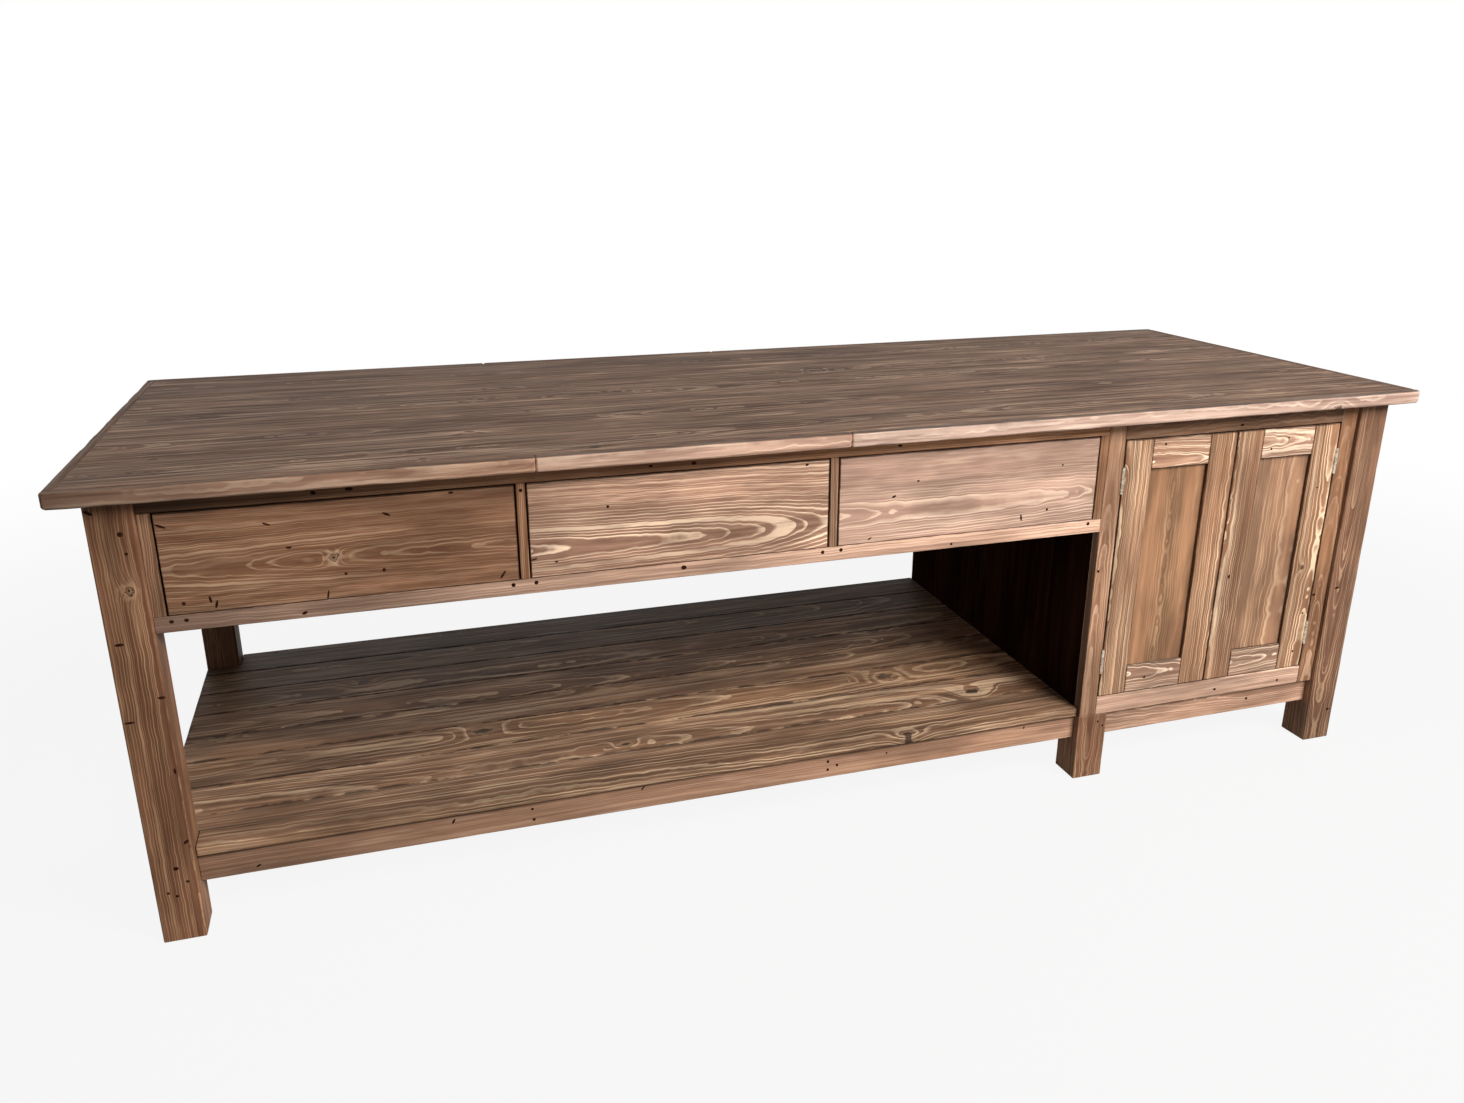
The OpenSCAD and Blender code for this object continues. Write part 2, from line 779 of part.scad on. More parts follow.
module catches() {
  color("dimgray") place() for (right = [false, true]) at_door(right) {
    x_end = door_w(right) - catch_inset;
    block([x_end - catch_l, y_frame_back, z_door_top - catch_drop],
      [x_end, y_frame_back + catch_t, z_door_top + catch_seat]);
  }
}

module strike(right) {
  x_end = door_w(right) - catch_inset;
  color("silver") place() at_door(right)
    block([x_end - catch_l, y_door_back, z_door_top - catch_drop],
      [x_end, y_frame_back - catch_gap, z_door_head - 1]);
}

module strike_left_door() { strike(false); }
module strike_right_door() { strike(true); }

top_boards();
top_edge_strips();
top_screws();
post_front_left();
post_front_right();
post_back_left();
post_back_right();
middle_legs();
drawer_frame_top_rail();
drawer_frame_bottom_rail();
drawer_frame_end_stiles();
drawer_frame_dividers();
cabinet_frame_stiles();
cabinet_frame_top_rail();
cabinet_frame_bottom_rail();
back_apron();
left_apron();
cabinet_left_side();
cabinet_right_side();
cabinet_back();
cabinet_floor();
cabinet_shelf();
shelf_pins();
low_rail_front();
low_rail_back();
low_rail_left();
plinth_rails();
pot_shelf_boards();
pot_shelf_bearers();
drawer_runners();
drawer_guides_and_stops();
drawer_kickers();
drawer_left_front();
drawer_left_sides();
drawer_left_back();
drawer_left_bottom();
drawer_middle_front();
drawer_middle_sides();
drawer_middle_back();
drawer_middle_bottom();
drawer_right_front();
drawer_right_sides();
drawer_right_back();
drawer_right_bottom();
left_door_stiles();
left_door_rails();
left_door_panel();
right_door_stiles();
right_door_rails();
right_door_panel();
hinge_frame_leaves();
hinge_leaves_left_door();
hinge_leaves_right_door();
hinge_pins();
hinge_screws_frame();
hinge_screws_left_door();
hinge_screws_right_door();
catches();
strike_left_door();
strike_right_door();
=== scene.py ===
# Kitchen island unit in stained pine: plank worktop, three drawers, a two door cupboard and a pot shelf
import math
from functools import partialmethod

import bmesh
import bpy
import numpy as np
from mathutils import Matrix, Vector


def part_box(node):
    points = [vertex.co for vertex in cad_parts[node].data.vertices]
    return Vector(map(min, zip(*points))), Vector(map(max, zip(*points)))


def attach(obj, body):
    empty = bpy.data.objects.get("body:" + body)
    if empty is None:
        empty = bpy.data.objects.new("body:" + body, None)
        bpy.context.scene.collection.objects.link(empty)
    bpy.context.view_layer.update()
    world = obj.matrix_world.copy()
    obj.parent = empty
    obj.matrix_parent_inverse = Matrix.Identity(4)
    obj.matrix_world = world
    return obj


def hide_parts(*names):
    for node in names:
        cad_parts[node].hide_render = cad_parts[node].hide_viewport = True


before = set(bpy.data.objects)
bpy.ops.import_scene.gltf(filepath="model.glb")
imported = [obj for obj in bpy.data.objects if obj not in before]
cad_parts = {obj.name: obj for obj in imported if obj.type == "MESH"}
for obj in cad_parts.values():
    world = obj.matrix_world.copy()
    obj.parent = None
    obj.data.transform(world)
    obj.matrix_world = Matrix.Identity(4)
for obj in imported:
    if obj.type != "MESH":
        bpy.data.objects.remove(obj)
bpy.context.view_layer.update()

mm = 0.001
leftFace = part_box("post_front_left")[0].x  # sizes along the unit are measured from here
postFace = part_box("post_front_left")[0].y  # and sizes towards the back from here
seeds = {"carcass": 100, "drawerFront": 200, "drawerBox": 220, "doorStiles": 300, "doorRails": 310,
         "doorPanel": 320, "worktopPlanks": 11, "worktopEdge": 21, "shelfSlats": 6, "shelfEnds": 31}


# Node helpers

class Value:  # an output socket to reckon with: each operator adds a Math node to its tree
    def __init__(self, socket):
        self.socket = socket
        self.tree = socket.id_data

    def maths(self, operation, other=None):
        node = addNode(self.tree, "ShaderNodeMath", operation=operation)
        plug(node.inputs[0], self)
        plug(node.inputs[1], other)
        return Value(node.outputs[0])

    __add__ = partialmethod(maths, "ADD")
    __sub__ = partialmethod(maths, "SUBTRACT")
    __mul__ = partialmethod(maths, "MULTIPLY")
    __truediv__ = partialmethod(maths, "DIVIDE")
    __pow__ = partialmethod(maths, "POWER")
    larger = partialmethod(maths, "MAXIMUM")
    smaller = partialmethod(maths, "MINIMUM")

    def ramp(self, low, high, toLow=0.0, toHigh=1.0):  # a smooth step from low to high
        node = addNode(self.tree, "ShaderNodeMapRange", interpolation_type="SMOOTHSTEP")
        return result(feed(node, Value=self, From_Min=low, From_Max=high, To_Min=toLow, To_Max=toHigh))


def addNode(tree, kind, **values):
    node = tree.nodes.new(kind)
    for name, value in values.items():
        setattr(node, name, value)
    return node


def plug(socket, value):  # another node's output is linked, anything else is set
    if isinstance(value, Value):
        value.tree.links.new(value.socket, socket)
    elif value is not None:
        socket.default_value = value


def feed(node, **values):  # inputs by name, with _ for a space
    for name, value in values.items():
        wanted = name.replace("_", " ")
        plug(next(s for s in node.inputs if s.name == wanted and s.enabled), value)
    return node


def result(node, name=None):  # the output of that name, or else the first one
    return Value(next(s for s in node.outputs if s.enabled and name in (None, s.name)))


def results(node):
    return {s.name: Value(s) for s in node.outputs}


def split(vector):
    node = addNode(vector.tree, "ShaderNodeSeparateXYZ")
    plug(node.inputs[0], vector)
    return [Value(s) for s in node.outputs]


def combine(x, y, z):
    return result(feed(addNode(x.tree, "ShaderNodeCombineXYZ"), X=x, Y=y, Z=z))


def noise(place, scale=1.0, detail=2.0, rough=0.5, output="Fac"):
    node = addNode(place.tree, "ShaderNodeTexNoise")
    return result(feed(node, Vector=place, Scale=scale, Detail=detail, Roughness=rough), output)


def mixColour(amount, a, b):
    return result(feed(addNode(amount.tree, "ShaderNodeMix", data_type="RGBA"), Factor=amount, A=a, B=b))


def colour(red, green, blue):  # screen values from 0 to 255
    shares = [value / 255 for value in (red, green, blue)]
    linear = [((s + 0.055) / 1.055) ** 2.4 if s > 0.04045 else s / 12.92 for s in shares]
    return (*linear, 1.0)


def newGroup(name, kind, inputs, outputs):  # inputs and outputs are names, listed under their type
    tree = bpy.data.node_groups.new(name, kind)
    for direction, sockets in (("INPUT", inputs), ("OUTPUT", outputs)):
        for socketType, labels in sockets.items():
            for label in labels:
                tree.interface.new_socket(label, in_out=direction, socket_type="NodeSocket" + socketType)
    return tree, results(tree.nodes.new("NodeGroupInput")), tree.nodes.new("NodeGroupOutput")


# Shader groups shared by all timber. Grain space runs across the board, into it and along it

grainScales = {"drift": (1.6, 1.5), "waves": (11.0, 24.0), "ragged": (90.0, 90.0), "clear": (7.0, 2.4),
               "streak": (130.0, 3.5), "band": (26.0, 1.1), "fleck": (48.0, 5.0)}  # across and along
figureRamps = {"ragged": (0.3, 0.7, 0.7, 1.35), "heart": (0.2, 0.42, 1.0, 0.4), "bark": (0.68, 0.95),
               "core": (0.9, 1.15, 1.0, 0.0), "halo": (1.0, 2.6, 1.0, 0.0),
               "pinCore": (0.6, 1.05, 0.85, 0.0), "pinHalo": (1.0, 2.0, 0.35, 0.0),
               "lateRise": (0.5, 0.88), "lateFall": (0.93, 1.0, 1.0, 0.0), "clear": (0.38, 0.62, 0.45, 1.0),
               "flat": (0.1, 0.75), "band": (0.36, 0.66), "fleck": (0.57, 0.72)}
figureSettings = {"seedStep": 90.0, "tiny": 0.001, "knotNil": 0.0001, "knotSquash": 0.72, "knotBend": 1.5,
                  "knotReach": -0.16, "pinCells": (7.0, 4.2), "pinNil": 0.0005, "pinLeast": 0.02,
                  "pinMore": 0.045, "pinBend": 0.28, "pinReach": -0.14, "unevenScale": 0.55, "uneven": 2.2,
                  "reliefLate": 0.5, "reliefStreak": 0.6, "reliefCore": -0.6}


def pineFigureGroup():  # growth rings cut by the board's faces and bent round its knots
    tree, given, out = newGroup(
        "pineFigure", "ShaderNodeTree",
        {"Vector": ("Grain", "Tone", "Knot"),
         "Float": ("Ring Width", "Wander", "Waves", "Pin Knots", "Pin Size", "Sides")},
        {"Float": ("Late", "Streak", "Band", "Fleck", "Core", "Halo", "Relief")})
    across, depth, along = split(given["Grain"])
    figure, ramps = figureSettings, figureRamps
    seed = split(given["Tone"])[2] * figure["seedStep"]

    def grainNoise(kind, **settings):  # drawn out along the board
        acrossScale, alongScale = grainScales[kind]
        place = combine(across * acrossScale + seed, depth * acrossScale, along * alongScale)
        return noise(place, **settings)

    driftAcross, driftDepth, _ = split(grainNoise("drift", detail=1.0, output="Color"))
    pithAcross = across + (driftAcross - 0.5) * given["Wander"]
    pithDepth = depth + (driftDepth - 0.5) * given["Wander"]
    waves = (grainNoise("waves") - 0.5) * given["Waves"]

    knotAlong, knotAcross, knotRadius = split(given["Knot"])  # distances from the board's own knot
    ragged = grainNoise("ragged").ramp(*ramps["ragged"])
    fromKnot = ((knotAlong * figure["knotSquash"]) ** 2.0 + knotAcross ** 2.0).maths("SQRT")
    nearKnot = fromKnot / (knotRadius + figure["knotNil"])
    inKnot = nearKnot * ragged
    anyKnot = knotRadius.maths("GREATER_THAN", figure["tiny"])
    heart = inKnot.ramp(*ramps["heart"]).larger(inKnot.ramp(*ramps["bark"]))
    core = inKnot.ramp(*ramps["core"]) * heart * anyKnot
    halo = inKnot.ramp(*ramps["halo"]) * anyKnot
    bend = (nearKnot ** 2.0 * figure["knotReach"]).maths("EXPONENT") * (knotRadius * figure["knotBend"])

    pins = addNode(tree, "ShaderNodeTexVoronoi", voronoi_dimensions="2D")  # small knots, here and there
    cellAcross, cellAlong = figure["pinCells"]
    feed(pins, Vector=combine(across * cellAcross + seed, along * cellAlong, 0.0), Scale=1.0)
    chance, luck, _ = split(result(pins, "Color"))
    pinRadius = (luck * figure["pinMore"] + figure["pinLeast"]) * given["Pin Size"]
    pinRadius = chance.maths("LESS_THAN", given["Pin Knots"]) * pinRadius
    nearPin = result(pins, "Distance") / (pinRadius + figure["pinNil"])
    inPin = nearPin * ragged
    anyPin = pinRadius.maths("GREATER_THAN", figure["tiny"])
    core = core.larger(inPin.ramp(*ramps["pinCore"]) * anyPin)
    halo = halo.larger(inPin.ramp(*ramps["pinHalo"]) * anyPin)
    pinBend = (nearPin ** 2.0 * figure["pinReach"]).maths("EXPONENT") * (pinRadius * figure["pinBend"])

    ring = (pithAcross ** 2.0 + pithDepth ** 2.0).maths("SQRT") + waves + bend + pinBend
    count = ring / given["Ring Width"]
    uneven = addNode(tree, "ShaderNodeTexNoise", noise_dimensions="1D")
    feed(uneven, W=count * figure["unevenScale"] + seed, Scale=1.0, Detail=1.0)
    part = (result(uneven) * figure["uneven"] + count).maths("FRACT")  # the way through one year's ring
    late = part.ramp(*ramps["lateRise"]) * part.ramp(*ramps["lateFall"])
    clear = grainNoise("clear").ramp(*ramps["clear"])
    flat = (pithDepth.maths("ABSOLUTE") / ring).ramp(*ramps["flat"], given["Sides"], 1.0)
    streak = grainNoise("streak", detail=3.0, rough=0.62)
    feed(out, Late=late * (clear * flat), Streak=streak, Core=core, Halo=halo,
         Band=grainNoise("band", detail=3.0, rough=0.6).ramp(*ramps["band"]),
         Fleck=grainNoise("fleck", rough=0.55).ramp(*ramps["fleck"]),
         Relief=late * figure["reliefLate"] + streak * figure["reliefStreak"] + core * figure["reliefCore"])
    return tree


arrisSettings = {"rubScale": 22.0, "rub": (0.35, 0.7, -0.85, 0.9), "patchScale": (14.0, 3.6),
                 "patch": (0.36, 0.64), "wearShade": (0.2, 1.0, 1.0, 0.0)}


def arrisWearAndShadeGroup():  # how near a point is to its board's arrises, top and front: masks for arris wear and for painted shade
    tree, given, out = newGroup(
        "arrisWearAndShade", "ShaderNodeTree",
        {"Vector": ("In Board", "Half Size", "Place"), "Float": ("Spread", "Ragged")},
        {"Float": ("Worn", "Patch", "Under Top", "Behind Front")})
    inBoard, halfSize, place = [split(given[label]) for label in ("In Board", "Half Size", "Place")]
    x, y, z = [size - here.maths("ABSOLUTE") for here, size in zip(inBoard, halfSize)]
    toArris = x.smaller(y).larger(x.larger(y).smaller(z))  # the second least of the three
    rub = noise(given["Place"], scale=arrisSettings["rubScale"], detail=3.0).ramp(*arrisSettings["rub"])
    reach = given["Spread"] * (given["Ragged"] * rub + 1.0)
    acrossScale, alongScale = arrisSettings["patchScale"]
    stretched = combine(place[0] * acrossScale, place[1] * acrossScale, place[2] * alongScale)
    patch = noise(stretched, detail=3.0, rough=0.6).ramp(*arrisSettings["patch"])
    feed(out, Worn=(toArris / reach).ramp(*arrisSettings["wearShade"]), Patch=patch,
         Under_Top=halfSize[2] - inBoard[2], Behind_Front=halfSize[1] + inBoard[1])
    return tree


pineFigure = pineFigureGroup()
arrisWearAndShade = arrisWearAndShadeGroup()
print("shader groups made")

# What the timbers share, then each timber's own stain, figure, arris wear and painted shade
timberLook = {"ring": 0.005, "wander": 0.05, "waves": 0.006, "pins": 0.1, "pinSize": 1.0, "sides": 0.45,
              "contrast": 0.5, "fleck": 0.2, "band": 0.5, "streak": 0.4, "patch": 0.2, "wearShadeAmount": 0.2,
              "spread": 0.002, "ragged": 1.0, "rough": 0.6, "bump": 0.15, "specular": 0.1}
pineLooks = {
    # the worktop's colours are set darker than the fronts': partly its own stain, partly painted shade for a
    # top lit at a grazing angle
    "topPine": {
        "slot": "worktop_pine", "early": (113, 85, 67), "late": (168, 138, 112), "wearShade": (176, 146, 120),
        "stain": (54, 35, 25), "core": (36, 22, 16), "ring": 0.0052, "pins": 0.14, "contrast": 0.65,
        "fleck": 0.75, "band": 0.55, "streak": 0.7, "patch": 0.16, "bump": 0.12},
    # the strips' top is set down to the worktop's level: painted shade
    "edgePine": {
        "slot": "edge_pine", "early": (172, 135, 112), "late": (216, 184, 156), "wearShade": (232, 204, 178),
        "stain": (104, 68, 50), "core": (52, 32, 22), "ring": 0.0045, "wander": 0.03, "waves": 0.005,
        "pins": 0.08, "fleck": 0.3, "streak": 0.5, "patch": 0.12, "wearShadeAmount": 0.35, "paintedTopShade": 0.36},
    "postPine": {
        "slot": "post_pine", "early": (124, 87, 66), "late": (202, 164, 128), "wearShade": (176, 138, 108),
        "stain": (62, 36, 24), "core": (36, 20, 13), "ring": 0.0042, "wander": 0.02, "pins": 0.05,
        "contrast": 0.65, "band": 0.25, "streak": 0.32, "wearShadeAmount": 0.3, "spread": 0.0022, "rough": 0.62,
        "bump": 0.18},
    # the frame's dark arris colour is partly dark joints, partly painted shade in the gaps; its sunk faces
    # get painted shade
    "framePine": {
        "slot": "frame_pine", "early": (150, 110, 82), "late": (210, 172, 142), "wearShade": (52, 31, 21),
        "stain": (84, 52, 36), "core": (42, 24, 16), "ring": 0.0048, "wander": 0.03, "pins": 0.04,
        "contrast": 0.6, "band": 0.35, "streak": 0.32, "patch": 0.18, "wearShadeAmount": 0.5, "spread": 0.0016,
        "paintedRecessShade": 0.4, "rough": 0.62},
    # the drawer fronts' dark arris colour is painted shade of the gaps round them; their sunk faces get
    # painted shade
    "drawerPine": {
        "slot": "drawer_front_pine", "early": (156, 114, 88), "late": (236, 200, 164), "wearShade": (46, 27, 18),
        "stain": (90, 56, 38), "core": (48, 28, 18), "ring": 0.0058, "wander": 0.045, "pins": 0.05,
        "contrast": 0.95, "fleck": 0.15, "band": 0.4, "streak": 0.38, "patch": 0.19, "wearShadeAmount": 0.88,
        "spread": 0.0024, "ragged": 0.35, "paintedRecessShade": 0.35, "rough": 0.58, "bump": 0.2},
    # the doors' dark arris colour is painted shade of the gaps round the doors and panels; their sunk faces
    # get painted shade
    "doorPine": {
        "slot": "door_pine", "early": (158, 115, 86), "late": (238, 206, 170), "wearShade": (56, 34, 23),
        "stain": (92, 58, 38), "core": (46, 27, 18), "wander": 0.04, "waves": 0.008, "pins": 0.05,
        "contrast": 1.0, "fleck": 0.15, "band": 0.4, "patch": 0.17, "wearShadeAmount": 0.85, "spread": 0.0027,
        "ragged": 0.5, "paintedRecessShade": 0.3, "rough": 0.58, "bump": 0.2},
    "panelPine": {
        "slot": "door_pine", "early": (164, 122, 92), "late": (226, 190, 150), "wearShade": (200, 160, 126),
        "stain": (104, 68, 46), "core": (52, 32, 21), "ring": 0.006, "wander": 0.03, "waves": 0.01,
        "pins": 0.08, "sides": 0.15, "contrast": 0.55, "fleck": 0.12, "band": 0.3, "streak": 0.2,
        "patch": 0.28, "wearShadeAmount": 0.1, "rough": 0.58},
    # the cupboard's left side is near black: partly a dark stain, mostly painted shade, as it faces away
    # from the light
    "sideStainAndShadePine": {
        "slot": "side_pine", "early": (38, 21, 14), "late": (58, 36, 25), "wearShade": (66, 44, 33),
        "stain": (20, 10, 7), "core": (16, 9, 6), "ring": 0.006, "waves": 0.005, "fleck": 0.1,
        "streak": 0.5, "patch": 0.3, "rough": 0.7, "specular": 0.0},
    # the shelf's dark arris colour marks the joints between its boards; its sunk faces get painted shade
    "shelfPine": {
        "slot": "shelf_pine", "early": (126, 95, 72), "late": (204, 174, 142), "wearShade": (44, 30, 22),
        "stain": (56, 38, 28), "core": (30, 19, 13), "ring": 0.0085, "waves": 0.007, "pins": 0.28,
        "pinSize": 1.9, "contrast": 0.62, "fleck": 0.25, "streak": 0.45, "wearShadeAmount": 0.85, "spread": 0.006,
        "paintedRecessShade": 0.25, "rough": 0.62, "bump": 0.2},
    "innerPine": {
        "slot": "inner_pine", "early": (176, 134, 97), "late": (214, 176, 134), "wearShade": (208, 174, 136),
        "stain": (128, 88, 60), "core": (78, 47, 31), "fleck": 0.1, "band": 0.35, "patch": 0.15,
        "rough": 0.65},
}
relatedLooks = {
    "drawerDarkPine": ("drawerPine", {"contrast": 0.5, "ring": 0.0045, "sides": 0.6}),
    "drawerPlainPine": ("drawerPine", {"contrast": 0.6, "streak": 0.25, "band": 0.2, "sides": 0.12}),
    # the shelf's front board: painted highlight on its front face
    "nosingPine": ("shelfPine", {"wearShadeAmount": 0.3, "nosing": 1.2}),
    # the low rail: painted shade on its top, under the pot shelf's overhang
    "lowRailShadePine": ("framePine", {"shaded": (0.011, 0.22)}),
}
pineLooks.update({name: {**pineLooks[like], **changes} for name, (like, changes) in relatedLooks.items()})
layerSettings = {"darkStreak": (0.46, 0.62), "paleStreak": (0.3, 0.44), "paleShare": 0.35, "halo": 0.3,
                 "core": 0.95, "patchUp": 2.2, "roundedEdge": (0.0008, 0.0035), "recess": (0.0015, 0.0035),
                 "reliefDepth": 0.0012}


def attribute(tree, name, output="Vector"):
    return result(addNode(tree, "ShaderNodeAttribute", attribute_name=name), output)


def freshMaterial(name):
    material = bpy.data.materials.new(name)
    material.use_nodes = True
    tree = material.node_tree
    return material, tree, tree.nodes["Principled BSDF"]


def dress(shader, base, rough, height, specular, **bumpValues):
    plug(shader.inputs["Base Color"], base)
    plug(shader.inputs["Roughness"], rough)
    shader.inputs["Specular IOR Level"].default_value = specular
    bump = feed(addNode(base.tree, "ShaderNodeBump"), Height=height, **bumpValues)
    plug(shader.inputs["Normal"], result(bump))


def boardLevel(look, tree, tone, edge):  # how light the stain is, from board to board and within one, with painted shade and a painted highlight laid on
    level = tone + 1.0
    atEdge = layerSettings["roundedEdge"]
    if "paintedTopShade" in look:  # painted shade: the strips' top is set down to the worktop's darker level, as a top lit at a grazing angle looks
        level += (level * -1.0 + look["paintedTopShade"]) * edge["Under Top"].ramp(*atEdge, 1.0, 0.0)
    if "shaded" in look:  # painted shade under an overhang: how far down, and how light at the very top
        level *= edge["Under Top"].ramp(0.0, *look["shaded"], 1.0)
    if "nosing" in look:  # painted highlight: the front face is set lighter, as it faces the light
        level *= edge["Behind Front"].ramp(*atEdge, look["nosing"], 1.0)
    patchUp = layerSettings["patchUp"] * look["patch"]
    level *= edge["Patch"] * patchUp + (1.0 - patchUp / 2)
    if "paintedRecessShade" in look:  # painted shade on the faces sunk in the gaps and recesses, below the front face
        below = attribute(tree, "belowFace", "Fac")
        level *= below.ramp(*layerSettings["recess"], 1.0, look["paintedRecessShade"])
    return level


def pineMaterial(name, look):
    material, tree, shader = freshMaterial(name)
    grain, tone = attribute(tree, "grainPos"), attribute(tree, "boardTone")
    figure = addNode(tree, "ShaderNodeGroup", node_tree=pineFigure)
    feed(figure, Grain=grain, Tone=tone, Knot=attribute(tree, "knotPos"), Ring_Width=look["ring"],
         Wander=look["wander"], Waves=look["waves"], Pin_Knots=look["pins"], Pin_Size=look["pinSize"],
         Sides=look["sides"])
    arris = addNode(tree, "ShaderNodeGroup", node_tree=arrisWearAndShade)
    feed(arris, In_Board=attribute(tree, "inBoard"), Half_Size=attribute(tree, "halfSize"), Place=grain,
         Spread=look["spread"], Ragged=look["ragged"])
    seen, edge = results(figure), results(arris)
    streak = seen["Streak"]
    paleStreak = layerSettings["paleShare"] * look["streak"]
    # The last layer is the arris colour: pale wear on most timbers, dark joints on the shelf, and painted
    # shade of the gaps on the drawer, door and frame fronts
    layers = [(seen["Late"] * look["contrast"], "late"), (seen["Fleck"] * look["fleck"], "late"),
              (streak.ramp(*layerSettings["darkStreak"], 0.0, look["streak"]), "stain"),
              (streak.ramp(*layerSettings["paleStreak"], paleStreak, 0.0), "late"),
              (seen["Halo"] * layerSettings["halo"], "late"), (seen["Core"] * layerSettings["core"], "core"),
              (edge["Worn"] * look["wearShadeAmount"], "wearShade")]
    base = mixColour(seen["Band"] * look["band"], colour(*look["early"]), colour(*look["stain"]))
    for amount, paint in layers:
        base = mixColour(amount, base, colour(*look[paint]))
    lighter, redder, _ = split(tone)
    tint = feed(addNode(tree, "ShaderNodeHueSaturation"), Color=base, Saturation=redder + 1.0,
                Value=boardLevel(look, tree, lighter, edge))
    rough = streak.ramp(0.3, 0.7, look["rough"] - 0.07, look["rough"] + 0.08) + seen["Late"] * -0.06
    dress(shader, result(tint), rough, seen["Relief"], look["specular"], Strength=look["bump"],
          Distance=layerSettings["reliefDepth"])
    return material


pineLooks = {name: {**timberLook, **look} for name, look in pineLooks.items()}
materials = {name: pineMaterial(name, look) for name, look in pineLooks.items()}

steel = {"metallic": 1.0, "rough": 0.38, "specular": 0.5}
plainLooks = {
    "hingeSteel": {**steel, "clean": (216, 208, 192), "dull": (166, 152, 132)},
    "screwSteel": {**steel, "clean": (190, 184, 172), "dull": (112, 104, 92)},
    "catchPlastic": {"clean": (60, 42, 32), "dull": (44, 31, 24), "metallic": 0.0, "rough": 0.45,
                     "specular": 0.4},
    "darkFilling": {"clean": (62, 36, 24), "dull": (36, 18, 12), "metallic": 0.0, "rough": 0.9,
                    "specular": 0.0},
}
rubSettings = {"cloudScale": 160.0, "fineScale": 900.0, "bump": 0.15, "depth": 0.0003}


def plainMaterial(name, look):  # turned, stamped or moulded parts with fine rubbing marks
    material, tree, shader = freshMaterial(name)
    place = result(addNode(tree, "ShaderNodeTexCoord"), "Object")
    cloud = noise(place, scale=rubSettings["cloudScale"], detail=3.0)
    fine = noise(place, scale=rubSettings["fineScale"])
    base = mixColour(cloud.ramp(0.4, 0.65), colour(*look["clean"]), colour(*look["dull"]))
    shader.inputs["Metallic"].default_value = look["metallic"]
    dress(shader, base, fine.ramp(0.3, 0.7, look["rough"] - 0.06, look["rough"] + 0.12), fine,
          look["specular"], Strength=rubSettings["bump"], Distance=rubSettings["depth"])
    return material


materials.update({name: plainMaterial(name, look) for name, look in plainLooks.items()})
print("materials made:", len(materials))


# Boards: rounded and dented boxes that carry what the pine shaders read

def solidsOf(node):  # the separate solids of a CAD node, as (low corner, high corner) from left to right
    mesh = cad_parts[node].data
    places = np.array([v.co for v in mesh.vertices])
    _, welded = np.unique(np.round(places, 5), axis=0, return_inverse=True)
    welded = welded.ravel()
    label = np.arange(welded.max() + 1)
    mesh.calc_loop_triangles()
    corners = welded[np.array([t.vertices for t in mesh.loop_triangles])]
    while True:
        low = label[corners].min(axis=1)
        before = label.copy()
        for column in range(3):
            np.minimum.at(label, corners[:, column], low)
        label = label[label]
        if (label == before).all():
            break
    owner = label[welded]
    boxes = [(places[owner == o].min(0), places[owner == o].max(0)) for o in np.unique(owner)]
    return sorted(boxes, key=lambda b: tuple(np.round(b[0], 3)))


rippleSettings = {"waves": 5, "frequencies": (12, 90), "turn": 6.28, "fineTimes": 4, "fineShare": 0.6,
                  "lift": 0.1}


def ripple(values, rng):  # a smooth uneven line between -1 and 1
    total = np.zeros_like(values)
    for frequency in rng.uniform(*rippleSettings["frequencies"], rippleSettings["waves"]):
        total += np.sin(values * frequency + rng.uniform(0, rippleSettings["turn"]))
    return total / rippleSettings["waves"]


def shellOf(lists):  # the outer skin of a lattice, with its quads facing out
    sizes = [len(values) for values in lists]
    skin = np.zeros(sizes, bool)
    for axis in range(3):
        face = [slice(None)] * 3
        for end in (0, -1):
            face[axis] = end
            skin[tuple(face)] = True
    number = np.full(sizes, -1)
    number[skin] = np.arange(skin.sum())
    picked = np.nonzero(skin)
    points = np.column_stack([values[i] for values, i in zip(lists, picked)])
    quads = []
    for axis in range(3):
        for end in (0, -1):
            sheet = number.take(end, axis)
            corners = [sheet[:-1, :-1], sheet[1:, :-1], sheet[1:, 1:], sheet[:-1, 1:]]
            quad = np.stack(corners, -1).reshape(-1, 4)
            quads.append(quad[:, ::-1] if (axis == 1) == (end == -1) else quad)
    return points, np.concatenate(quads)


grainRun = 20.0  # grain starts anywhere within this length
mostRounding = 0.8  # of half a board's size
freeFigure = {"pithAcross": 0.6, "pithDepth": (0.015, 0.06), "slope": (0.012, 0.045), "tone": 0.05}


def roundedPoints(half, edge, cell, along):  # a box's skin, with arcs for its arrises
    arc = np.tan(np.radians([15.0, 30.0, 45.0]))
    radius = np.minimum(edge, half * mostRounding)
    flats = half - radius
    lists = []
    for axis, (flat, reach) in enumerate(zip(flats, radius)):
        steps = max(1, int(round(2 * flat / cell))) if axis == along else 2
        inner = np.linspace(-flat, flat, steps + 1)
        lists.append(np.concatenate([-(flat + reach * arc[::-1]), inner, flat + reach * arc]))
    points, quads = shellOf(lists)
    held = np.clip(points, -flats, flats)
    return points, quads, held, radius.min()


